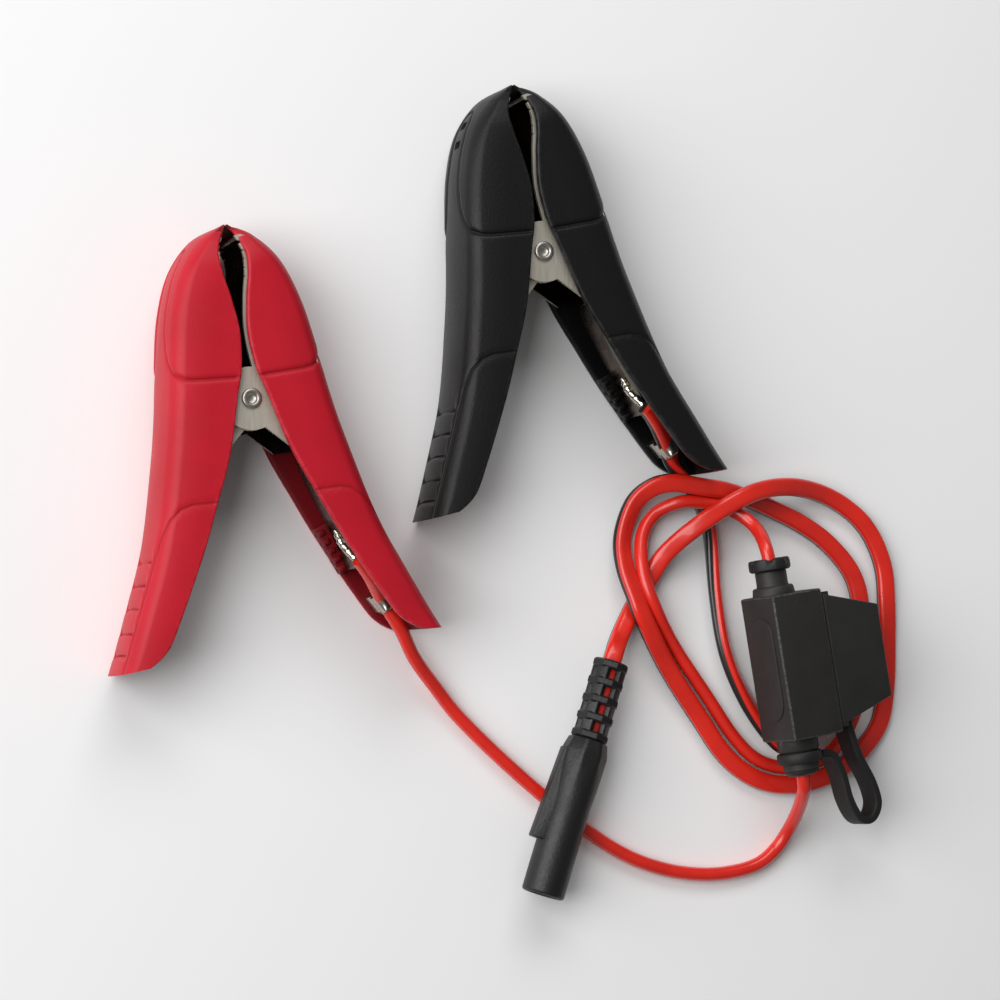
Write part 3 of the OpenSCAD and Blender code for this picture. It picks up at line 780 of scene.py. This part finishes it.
def cover(stations=232):
    rows, slots = [], []
    for i in range(stations):
        place = 9 * (i / (stations - 1))
        back, rim = at(BACK, place), at(RIM, opposite(place))
        rows.append((back, (rim - back).normalized(), max((rim - back).length, 0.2)))
    sections = [channel(reach, nose_shrink(back.y)) for back, towards, reach in rows]
    outside = sections[0][1]

    def put(row, column):
        back, towards, reach = rows[row]
        depth, height, normal, run = sections[row][0][column]
        y = (back + towards * depth).y
        nose = grip = rib = NO_LINE
        if column < outside:
            nose = signed_distance(NOSE_LINE, y, abs(run))
            grip = signed_distance(GRIP_LINE, y, abs(run))
            rib = min(abs(rib_distance(y, run, i)) for i in range(RIBS)) + 3 * ramp(abs(run), 6.2, 7.6)
            if 3 < column < outside - 4:
                pressed = relief(y, abs(run), nose, grip) * min(1, reach / 8)
                depth, height = depth - normal[0] * pressed, height - normal[1] * pressed
        flat = back + towards * depth
        run = run if column < outside else INSIDE
        return Vector((flat.x, flat.y, height)), nose, grip, rib, max(reach - depth, 0), run

    return laid(stations, len(sections[0][0]), put, COVER_MARKS, closed=True)


# %% [markdown]
# The wired handle also has a block moulded inside it under the conductor, with teeth that stop the
# wire from pulling through. It is a plain bevelled bar with small bevelled bars across it.

# %% Toothed block inside the wired cover
def toothed_block():
    teeth = [box((1.7, 1.3, 3.4), (0.85, 1.2 + 2.3 * i, 1.7), 0.3, 2) for i in range(5)]
    bm = joined(box((5, 12, 2.6), (2.5, 6, 1.1), 0.4), *teeth)
    for name in COVER_MARKS:
        layer = bm.verts.layers.float.new(name)
        for v in bm.verts:
            v[layer] = INSIDE if name == "run" else NO_LINE
    return moved(bm, Matrix.Translation((19.4, -41, WALL)) @ Matrix.Rotation(math.radians(24), 4, "Z"))


# %% Four covers
def add_covers():
    for colour, finish in (("red", RED_COVER), ("black", BLACK_COVER)):
        for half, body in (("free", colour + "_free_half"), ("wired", "lead_set")):
            bm = closed_off(cover())
            layer = bm.verts.layers.float["run"]
            if colour == "black" and half == "free":
                # two slots through the back near the nose
                sunk = [f for f in bm.faces if all(
                    abs(v[layer]) < 2.1 and min(abs(v.co.y - 31.8), abs(v.co.y - 27.6)) < 1.0 for v in f.verts)]
                walls = bmesh.ops.inset_region(bm, faces=sunk, thickness=0.06, depth=-1.3, use_even_offset=True,
                                               use_boundary=True)["faces"]
                for f in sunk + walls:
                    f.material_index = 1
            if half == "wired":
                bm = joined(bm, toothed_block())
            piece = finished(f"{colour}_{half}_moulding", bm, clamp_matrix(colour, half == "free"), body,
                             [f"{colour}_{half}_cover"], 50, finish)
            if colour == "black":
                piece.data.materials.append(DARK)


def dark_recess():
    f = Finish("recess_shadow", Roughness=0.8)
    f.surface(Base_Color=f.mix(f.grain(0.6), (0.004, 0.004, 0.004), (0.008, 0.008, 0.008)))
    return f.material


DARK = dark_recess()
add_covers()

# %% [markdown]
# ## Jaws
# The jaws are pressed from sheet steel: two cheeks joined by a web, with teeth cut in the edges. The
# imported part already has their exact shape. A copy of it is welded, its flat faces are made whole
# again, and a Bevel modifier breaks the edges as tumbling does, so that they catch the light.

# %% Softened copies of CAD nodes
def softened(name, node, body, finish, edge=0.12, segments=2, inside=None):
    """The node's mesh with broken edges; inside is a second finish, for the faces that look inwards, which carries
    painted shade.
    """
    bm = bmesh.new()
    bm.from_mesh(frame["nodes"][node].data)
    bmesh.ops.remove_doubles(bm, verts=bm.verts, dist=1e-6)
    bmesh.ops.dissolve_limit(bm, angle_limit=math.radians(1.5), verts=bm.verts, edges=bm.edges)
    for f in bm.faces:
        z, up = f.calc_center_median().z / MM - COVER_D / 2, f.normal.z
        within = abs(up) < 0.5 and f.calc_area() > 10 * MM * MM or abs(up) > 0.5 and z * up < 0
        f.material_index = int(bool(inside) and within)
    piece = finished(name, bm, Matrix.Identity(4), body, [node], 40, finish)
    if inside:
        piece.data.materials.append(inside)
    bevel = piece.modifiers.new("edges", "BEVEL")
    bevel.width, bevel.segments, bevel.limit_method = edge * MM, segments, "ANGLE"
    bevel.angle_limit = math.radians(30)
    bevel.harden_normals = False
    return piece


def add_jaws():
    for colour in ("red", "black"):
        for half, body in (("free", colour + "_free_half"), ("wired", "lead_set")):
            # The inward faces of each jaw take the dark nickel, as painted shade.
            softened(f"{colour}_{half}_steel", f"{colour}_{half}_jaw", body, NICKEL,
                     inside=SHADED_NICKEL)


add_jaws()


# %% [markdown]
# ### Rivet
# The hinge pin is a tube whose ends are rolled outwards over the cheeks. Spinning its half section
# round the pivot gives the rolled lip and the bore together.

# %% Rivets
def rivet(radius=1.7, bore=1.1, low=1.4):
    lip, head = 0.62, radius + 0.6
    edge = [(0, low + 1.2), (bore - 0.3, low + 1.2), (bore, low + 0.95), (bore, low + 0.35),
            (bore + 0.16, low + 0.1), (bore + 0.42, low), (head - 0.36, low + 0.04), (head - 0.08, low + 0.24),
            (head, low + 0.46), (head - 0.1, low + lip), (radius + 0.02, low + lip + 0.06)]
    return turned_shape(edge + [(r, COVER_D - z) for r, z in reversed(edge)])


def add_rivets():
    for colour in ("red", "black"):
        finished(f"{colour}_hinge_pin", rivet(), clamp_matrix(colour), "lead_set",
                 [f"{colour}_rivet"], 40, RIVET)


add_rivets()


# %% [markdown]
# ### Spring
# A torsion spring round the rivet pushes the handles apart. Each leg bears on the back of one half, so
# the spring bends between the two bodies about the pivot as the clamp opens.

# %% Springs
def spring_line(radius=3.4, low=5.4, high=15.4, start=72, leg=14.6, steps=150):
    sweep = 4 * 360 + 2 * (90 - start)
    coil = []
    for i in range(steps + 1):
        a = math.radians(start + sweep * i / steps)
        coil.append(Vector((radius * math.cos(a), radius * math.sin(a), low + (high - low) * i / steps)))
    a = math.radians(start)
    reach = Vector((math.sin(a), -math.cos(a), 0)) * leg
    first = [coil[0] + reach * t / 6 for t in range(6, 0, -1)]
    last = [coil[-1] + Vector((-reach.x, reach.y, 0)) * t / 6 for t in range(1, 7)]
    return first + coil + last


def add_springs():
    for colour in ("red", "black"):
        bm = tube(spring_line(), circle(0.6, 10))
        piece = finished(f"{colour}_torsion_spring", bm, clamp_matrix(colour), None,
                         [f"{colour}_spring"], 60, SPRING)
        matrix = clamp_matrix(colour)
        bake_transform(piece, "lead_set", f"{colour}_free_half", start=matrix @ Vector((4.5, 0, 11)),
                 end=matrix @ Vector((-4.5, 0, 11)))


add_springs()


# %% [markdown]
# ### Wire grip and solder
# Near the mouth of the wired handle a metal tab is folded over the lead. It is a strip bent round the
# wire, its two ends lapped on top, with a foot on the floor of the handle. The bare strands beyond it
# are soldered to the jaw's tongue, and the bead froze in uneven lumps.

# %% Wire grips
def wire_grip(hole, width=4.4, band=0.5):
    """A strip bent round the wire from a flat grid, lapped at the top and flared at its corners."""
    turns, count = 1.12, 30

    def put(row, column):
        a = math.radians(80) + math.tau * turns * row / (count - 1)
        lap = 0.34 * row / (count - 1)
        along = width * (column / 8 - 0.5)
        end = min(row, count - 1 - row) / (count - 1)
        flare = 0.5 * ramp(0.08 - end, 0, 0.08) * ramp(abs(along), 0.6, 2.2)
        twist = 0.5 * (row / (count - 1) - 0.5) * (1 if along > 0 else 0.6)
        radius = hole / 2 + 0.1 + lap + flare
        return Vector((radius * math.cos(a), along + twist, radius * math.sin(a)))

    bm = laid(count, 9, put)
    bmesh.ops.solidify(bm, geom=list(bm.faces), thickness=band * 0.7)
    bmesh.ops.bevel(bm, geom=[e for e in bm.edges if e.calc_face_angle(0) > 1], affect="EDGES", offset=0.1,
                    segments=2, profile=0.5, material=-1)
    bmesh.ops.recalc_face_normals(bm, faces=bm.faces)
    foot_top = -hole / 2 - 0.1
    foot = box((3, width, 8.2 - WALL + foot_top), (0, 0, (WALL - 8.2 + foot_top) / 2), 0.25)
    return moved(joined(bm, foot), Matrix.Translation(INNER_RUN[2]) @ Matrix.Rotation(math.radians(32), 4, "Z"))


def solder_bead():
    line = evenly(smooth([(17.3, -31, 11.4), (18.6, -34.6, 11.8), (20.1, -38.2, 14.6)], 8), 0.25)
    bm = tube(line, circle(1, 18), scale=lambda i: 0.25 + 0.8 * math.sin(
        math.pi * min(max(i / (len(line) - 1), 0.03), 0.97)) ** 0.4)
    for v in bm.verts:
        lump = noise.noise(v.co * 1.3) * 0.28 + noise.noise(v.co * 3.1) * 0.1
        v.co += Vector((0, 0, 0.15)) + v.normal * lump
    return bm


def add_grips():
    for colour, hole in (("red", 3.2), ("black", 4.3)):
        finished(f"{colour}_wire_clip", wire_grip(hole), clamp_matrix(colour), "lead_set",
                 [f"{colour}_wire_grip"], 40, TONGUE)
        finished(f"{colour}_solder_bead", solder_bead(), clamp_matrix(colour), "lead_set",
                 [f"{colour}_solder_joint"], 60, SOLDER)


add_grips()

# %% [markdown]
# ## Fuse holder
# The holder is modelled in its own frame: X from its back towards the cap, Y along the wires. The
# body is a rounded box with a raised oval panel on its back. Its corners are marked, so the finish
# can paint them grey, partly rubbed wear and partly a painted highlight along the edges. Necks and
# bushes are turned shapes laid along the wires.

# %% Holder body
HOLDER_W, HOLDER_T, CAP_W, CAP_L, CAP_T = 14, 13.5, 15.8, 31, 12


# Marks the corners that the finish paints grey: rubbed wear and a painted highlight.
def mark_wear_and_sheen(bm, wear_and_sheen):
    layer = bm.verts.layers.float.new("wear_and_sheen")
    for v in bm.verts:
        v[layer] = wear_and_sheen(v.co)
    return bm


def oval_panel(length=24.5, width=9, height=0.4):
    """A stadium: a disc cut across and drawn out, then raised with a soft edge."""
    bm = bmesh.new()
    bmesh.ops.create_circle(bm, cap_ends=True, radius=width / 2, segments=64)
    for v in bm.verts:
        v.co.y += math.copysign((length - width) / 2, v.co.y) if abs(v.co.y) > 1e-6 else 0
    top = bmesh.ops.extrude_face_region(bm, geom=list(bm.faces))["geom"]
    bmesh.ops.translate(bm, vec=(0, 0, height), verts=[g for g in top if isinstance(g, bmesh.types.BMVert)])
    bmesh.ops.recalc_face_normals(bm, faces=bm.faces)
    rim = [e for e in bm.edges if all(v.co.z > height / 2 for v in e.verts) and len(e.link_faces) == 2
           and e.calc_face_angle(0) > 1]
    bmesh.ops.bevel(bm, geom=rim, affect="EDGES", offset=0.22, segments=3, profile=0.5, material=-1)
    return bm


def holder_shell():
    bm = bmesh.new()
    bmesh.ops.create_cube(bm, size=1)
    bmesh.ops.scale(bm, vec=(HOLDER_W, HOLDER_L, HOLDER_T), verts=bm.verts)
    front = [f for f in bm.faces if f.normal.x > 0.9]
    bmesh.ops.inset_region(bm, faces=front, thickness=1.5)
    collar = bmesh.ops.extrude_discrete_faces(bm, faces=front)["faces"]
    bmesh.ops.translate(bm, vec=(2.5, 0, 0), verts=list({v for f in collar for v in f.verts}))
    bmesh.ops.inset_region(bm, faces=collar, thickness=1.5)
    well = bmesh.ops.extrude_discrete_faces(bm, faces=collar)["faces"]
    bmesh.ops.translate(bm, vec=(-12, 0, 0), verts=list({v for f in well for v in f.verts}))
    bmesh.ops.remove_doubles(bm, verts=bm.verts, dist=1e-4)
    outer = [e for e in bm.edges if e.calc_face_angle(0) > 1
             and all(abs(v.co.y) > HOLDER_L / 2 - 0.1 or abs(v.co.z) > HOLDER_T / 2 - 0.1 for v in e.verts)]
    bmesh.ops.bevel(bm, geom=outer, affect="EDGES", offset=0.55, segments=4, profile=0.5, material=-1)
    return bm


def holder_body():
    half = HOLDER_W / 2
    panel = moved(oval_panel(),
                  Matrix.Translation((-half + 0.02, 0, 0)) @ Matrix.Rotation(math.radians(-90), 4, "Y"))
    top = HOLDER_L / 2
    upper = turned_shape([(2.35, 0), (5, 0), (5, 0.2), (4.8, 1.6), (4.55, 1.95), (3.8, 2.1), (3.7, 2.5), (3.7, 5.5),
                          (3.4, 5.8), (2.35, 5.8), (2.35, 0)])
    lower = turned_shape([(2.35, 0), (4.85, 0), (4.85, 2.5), (4.6, 2.9), (4.25, 3.05), (4.2, 3.3), (4.2, 7.1),
                          (3.9, 7.4), (2.35, 7.4), (2.35, 0)])
    bm = joined(holder_shell(), panel,
                moved(upper, along_y(top, NECK_X)),
                moved(lower, against_y(-top, NECK_X)))

    # The corners for the grey line: rubbed wear and a painted highlight along the edges.
    def wear_and_sheen(p):
        near = (abs(p.x) > half - 0.38, abs(p.z) > HOLDER_T / 2 - 0.38, abs(p.y) > top - 0.38)
        return 1.0 if sum(near) > 1 and abs(p.x) < half + 0.1 and abs(p.y) < top + 0.1 else 0.0

    return mark_wear_and_sheen(bm, wear_and_sheen)


finished("holder_moulding", holder_body(), HOLDER_MATRIX, "lead_set", ["holder_body"], 40, HOLDER)


# %% Bushes
def upper_bush():
    """A turned bush whose mouth is cut into six blunt teeth."""
    profile = [(1.62, -2), (2.3, -2), (2.3, 0), (4.4, 0.05), (4.85, 0.45), (4.9, 0.9), (4.9, 1.9), (4.75, 2.75),
               (4.3, 2.9), (3.2, 2.9), (1.9, 2.6), (1.62, 2.3), (1.62, -2)]
    bm = turned_shape(profile, 72)
    for v in bm.verts:
        radius = math.hypot(v.co.x, v.co.y)
        if radius > 2.5:
            a = math.atan2(v.co.y, v.co.x)
            gap = ramp(math.cos(6 * a), 0.35, 0.75)
            v.co.z -= 0.75 * gap * ramp(v.co.z, 1.5, 2.6)
            shrink = 1 - 0.075 * gap * ramp(v.co.z, 1.2, 2.4)
            v.co.x, v.co.y = v.co.x * shrink, v.co.y * shrink
        v.co += v.co.normalized() * noise.noise(v.co * 2.2) * 0.06
    return bm


def lower_bush():
    return turned_shape([(1.62, -5), (2.3, -5), (2.3, 0), (4, 0), (4, 0.3), (3.6, 0.9), (2.9, 1.2), (1.62, 1.2),
                         (1.62, -5)])


finished("feed_bush", upper_bush(), HOLDER_MATRIX @ along_y(HOLDER_L / 2 + 5.6, NECK_X), "lead_set",
         ["upper_grommet"], 40, RUBBER)
finished("exit_bush", lower_bush(), HOLDER_MATRIX @ against_y(-HOLDER_L / 2 - NECK_L, NECK_X), "lead_set",
         ["lower_grommet"], 40, RUBBER)


# %% [markdown]
# ### Cap and strap
# The cap is a hollow box that narrows away from the body. It stops just short of it, so a dark gap
# shows all round. The strap is one soft strip: from a ring round the neck it drops into a loop and
# comes up to the cap, and it bends between the two bodies as the cap is pulled.

# %% Cap
def cap(gap=0.8):
    start, width, slope = HOLDER_W / 2 + gap, CAP_W - 0.5, math.tan(math.radians(16))
    bm = box((width, CAP_L, CAP_T), (start + width / 2, 0, 0))
    for v in bm.verts:
        if v.co.x > start + 1:
            v.co.y -= math.copysign(CAP_W * slope, v.co.y)
    mouth = [f for f in bm.faces if f.normal.x < -0.9]
    bmesh.ops.inset_region(bm, faces=mouth, thickness=1.5)
    well = bmesh.ops.extrude_discrete_faces(bm, faces=mouth)["faces"]
    bmesh.ops.translate(bm, vec=(CAP_W - 1.6, 0, 0), verts=list({v for f in well for v in f.verts}))
    for f in well:
        for v in f.verts:
            v.co.y *= 0.66
    outer = [e for e in bm.edges if 0.3 < e.calc_face_angle(0) < 3
             and all(abs(v.co.z) > CAP_T / 2 - 0.01 or abs(v.co.y) > CAP_L / 2 - CAP_W * slope - 0.01
                     for v in e.verts)]
    bmesh.ops.bevel(bm, geom=outer, affect="EDGES", offset=0.45, segments=4, profile=0.5, material=-1)

    # The cap's corners get the same grey line, a little fainter: rubbed wear and a painted highlight.
    def wear_and_sheen(p):
        edge_y = CAP_L / 2 - (p.x - start) * slope
        near = (abs(p.z) > CAP_T / 2 - 0.32, abs(p.y) > edge_y - 0.34, p.x > start + CAP_W - 0.82)
        return 0.6 if sum(near) > 1 else 0.0

    return mark_wear_and_sheen(bm, wear_and_sheen)


finished("cap_moulding", cap(), HOLDER_MATRIX, "cap", ["holder_cap"], 40, CAP)

# %% Strap
STRAP_LINE = [(3, -21.4), (6.2, -22.4), (8, -27), (9, -33.6), (11.2, -38.2), (14.4, -38.8), (16.8, -35.5), (16, -30),
              (13.4, -23.5), (11.6, -14.7)]


def strap():
    line = evenly(smooth([(x, y, 0) for x, y in STRAP_LINE], 10), 0.4)
    section = []
    for corner, start in (((0.62, 2.45), 0), ((-0.62, 2.45), 90), ((-0.62, -2.45), 180), ((0.62, -2.45), 270)):
        for i in range(4):
            a = math.radians(start + 30 * i)
            section.append(Vector((corner[0] + 0.28 * math.cos(a), corner[1] + 0.3 * math.sin(a))))
    ribbon = tube(line, section)
    ring = turned_shape([(4.22, -22.6), (5.1, -22.6), (5.3, -22.3), (5.3, -20.5), (5.1, -20.2), (4.22, -20.2),
                         (4.22, -22.6)])
    return joined(ribbon, moved(ring, along_y(0, NECK_X)))


strap_piece = finished("cap_tether", strap(), HOLDER_MATRIX, None, ["cap_strap"], 50, STRAP)
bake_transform(strap_piece, "lead_set", "cap", start=HOLDER_MATRIX @ Vector((7.5, -36, 0)),
         end=HOLDER_MATRIX @ Vector((14.5, -28, 0)))


# %% Fuse and terminals
softened("fuse_moulding", "fuse_body", "fuse", FUSE, 0.4, 3)
softened("fuse_pins", "fuse_blades", "fuse", TIN, 0.1)
softened("feed_terminal", "terminal_in", "lead_set", BRASS, 0.12)
softened("exit_terminal", "terminal_out", "lead_set", BRASS, 0.12)

# %% [markdown]
# ## Connector
# The connector is moulded straight onto the cable: a round barrel that swells to a shoulder, a key
# rib along one side, and a strain relief of five rings. The barrel is a turned shape. Each ring is a
# short faceted collar, held to the next by four thin bridges, so the cable shows in between.

# %% Connector housing
def connector_body():
    radius = 5
    profile = [(3.8, 13), (3.8, 0.5), (4.0, 0.12), (4.3, 0), (4.6, 0.06), (4.9, 0.3), (5, 0.7), (5, 21), (5.06, 23),
               (5.2, 25), (5.42, 29.5), (5.5, 31.5), (5.5, 33.6), (5.42, 34.2), (4.75, 36.7), (4.55, 36.95),
               (4.2, 37), (2.4, 37), (2.4, 30), (0, 30)]
    bm = turned_shape(profile, 72)
    # the shoulder is cut to eight flats
    for v in bm.verts:
        if math.hypot(v.co.x, v.co.y) > 4:
            a = (math.atan2(v.co.y, v.co.x) + math.pi / 8) % (math.pi / 4) - math.pi / 8
            facet = 1 - (1 - math.cos(math.pi / 8) / math.cos(a)) * ramp(v.co.z, 27, 32)
            v.co.x, v.co.y = v.co.x * facet, v.co.y * facet
    body = moved(bm, Matrix.Rotation(math.radians(-90), 4, "X"))
    # the key rib is a flank that leaves the barrel level with its top and narrows outwards
    rib = box((4.4, 22, 6.2), (-radius + 0.3, 23, 0), 0.4, 3)
    for v in rib.verts:
        v.co.z *= 1 - 0.5 * ramp(-v.co.x, radius - 1.5, radius + 1.9)
        if v.co.x < -radius:
            v.co.x += 1.3 * ramp(v.co.y, 24, 34)
    return joined(body, rib)


connector = finished("connector_moulding", connector_body(), CONNECTOR_MATRIX, "lead_set",
                     ["connector_housing"], 40, CONNECTOR)


# %% Strain relief
def relief_rings():
    parts, pitch = [], (RELIEF_L - 2) / 4
    for i in range(5):
        radius, low = 4.6 - 0.06 * i, pitch * i
        ring = turned_shape([(2.6, low), (radius - 0.5, low), (radius, low + 0.45), (radius, low + 1.55),
                             (radius - 0.5, low + 2), (2.6, low + 2), (2.6, low)], 48)
        # eight blunt facets, wider than they are deep
        for v in ring.verts:
            a, r = math.atan2(v.co.y, v.co.x), math.hypot(v.co.x, v.co.y)
            if r > 3:
                step = math.tau / 8
                facet = math.cos(step / 2) / math.cos(a % step - step / 2)
                v.co.x, v.co.y = v.co.x * facet, v.co.y * facet
        parts.append(ring)
    for a in (45, 135, 225, 315):
        bar = box((1.6, 2.9, RELIEF_L - 1), (3.0, 0, (RELIEF_L - 1) / 2 + 0.5), 0.4, 3)
        parts.append(moved(bar, Matrix.Rotation(math.radians(a), 4, "Z")))
    return joined(*parts)


relief_piece = finished("cable_relief", relief_rings(), CONNECTOR_MATRIX @ along_y(HOUSING_L), "lead_set",
                        ["strain_relief"], 30, CONNECTOR)

# %% Contacts
face_piece = softened("contact_carrier", "connector_face", "lead_set", CONNECTOR, 0.15)
socket_a = softened("positive_socket", "contact_positive", "lead_set", BRASS, 0.08)
socket_b = softened("negative_socket", "contact_negative", "lead_set", BRASS, 0.08)


# %% [markdown]
# ### Splice
# Where the feed wire joins the red half of the flat cable, heat-shrink sleeve covers the joint. Sleeve
# shrinks tight over what is inside, so it is a tube that swells over the joint and thins at its ends.

# %% Splice sleeve
def sleeve():
    middle, run = Vector((91.8, -45, 1.95)), Vector((2, 8, 0)) / 2
    line = [middle + run * (t / 10) for t in range(-10, 11)]
    section = [Vector((3.6 * c.x, 1.85 * c.y)) for c in circle(1, 40)]
    return tube(line, section, scale=lambda i: 1 - 0.14 * ramp(abs(i - 10), 5, 10))


sleeve_piece = finished("splice_cover", sleeve(), None, "lead_set", ["splice_sleeve"], 50, RUBBER)

# %% Length of the flat cable
twin_length = length_of(twin_line) * MM
twin_line[-1] * MM
[p * MM for p in reversed(twin_line)]
print("twin_lead is", round(twin_length * 1000), "mm long")

# %% [markdown]
# ## Studio
# The set lies on a plain pale sheet. One broad lamp on the left gives the long highlights on the
# handles' shoulders, a weaker one overhead opens the top faces, and a pale sky fills the shadows.

# %% Floor and lamps
def floor():
    bm = bmesh.new()
    bmesh.ops.create_grid(bm, x_segments=1, y_segments=1, size=3)
    mesh = bpy.data.meshes.new("floor")
    bm.to_mesh(mesh)
    bm.free()
    piece = bpy.data.objects.new("floor", mesh)
    bpy.context.scene.collection.objects.link(piece)
    f = Finish("pale_sheet", Base_Color=(0.95, 0.95, 0.95), Roughness=0.95, Specular_IOR_Level=0.1)
    mesh.materials.append(f.material)


def lamp(name, place, size, power):
    """A rectangular lamp that faces the middle of the sheet."""
    data = bpy.data.lights.new(name, "AREA")
    data.shape, data.size, data.size_y = "RECTANGLE", size[0], size[1]
    data.energy = power
    made = bpy.data.objects.new(name, data)
    made.matrix_world = Matrix.Translation(place) @ Vector(place).to_track_quat("Z", "Y").to_matrix().to_4x4()
    bpy.context.scene.collection.objects.link(made)


floor()
lamp("key", (-0.85, 0.1, 0.72), (0.8, 1.1), 11.5)
lamp("behind", (-0.2, 0.9, 0.8), (1.0, 0.5), 6.0)
world = bpy.data.worlds.new("sky")
world.use_nodes = True
background = world.node_tree.nodes["Background"]
background.inputs["Color"].default_value = (1, 1, 1, 1)
background.inputs["Strength"].default_value = 0.15
bpy.context.scene.world = world
bpy.context.scene.view_settings.view_transform = "Standard"
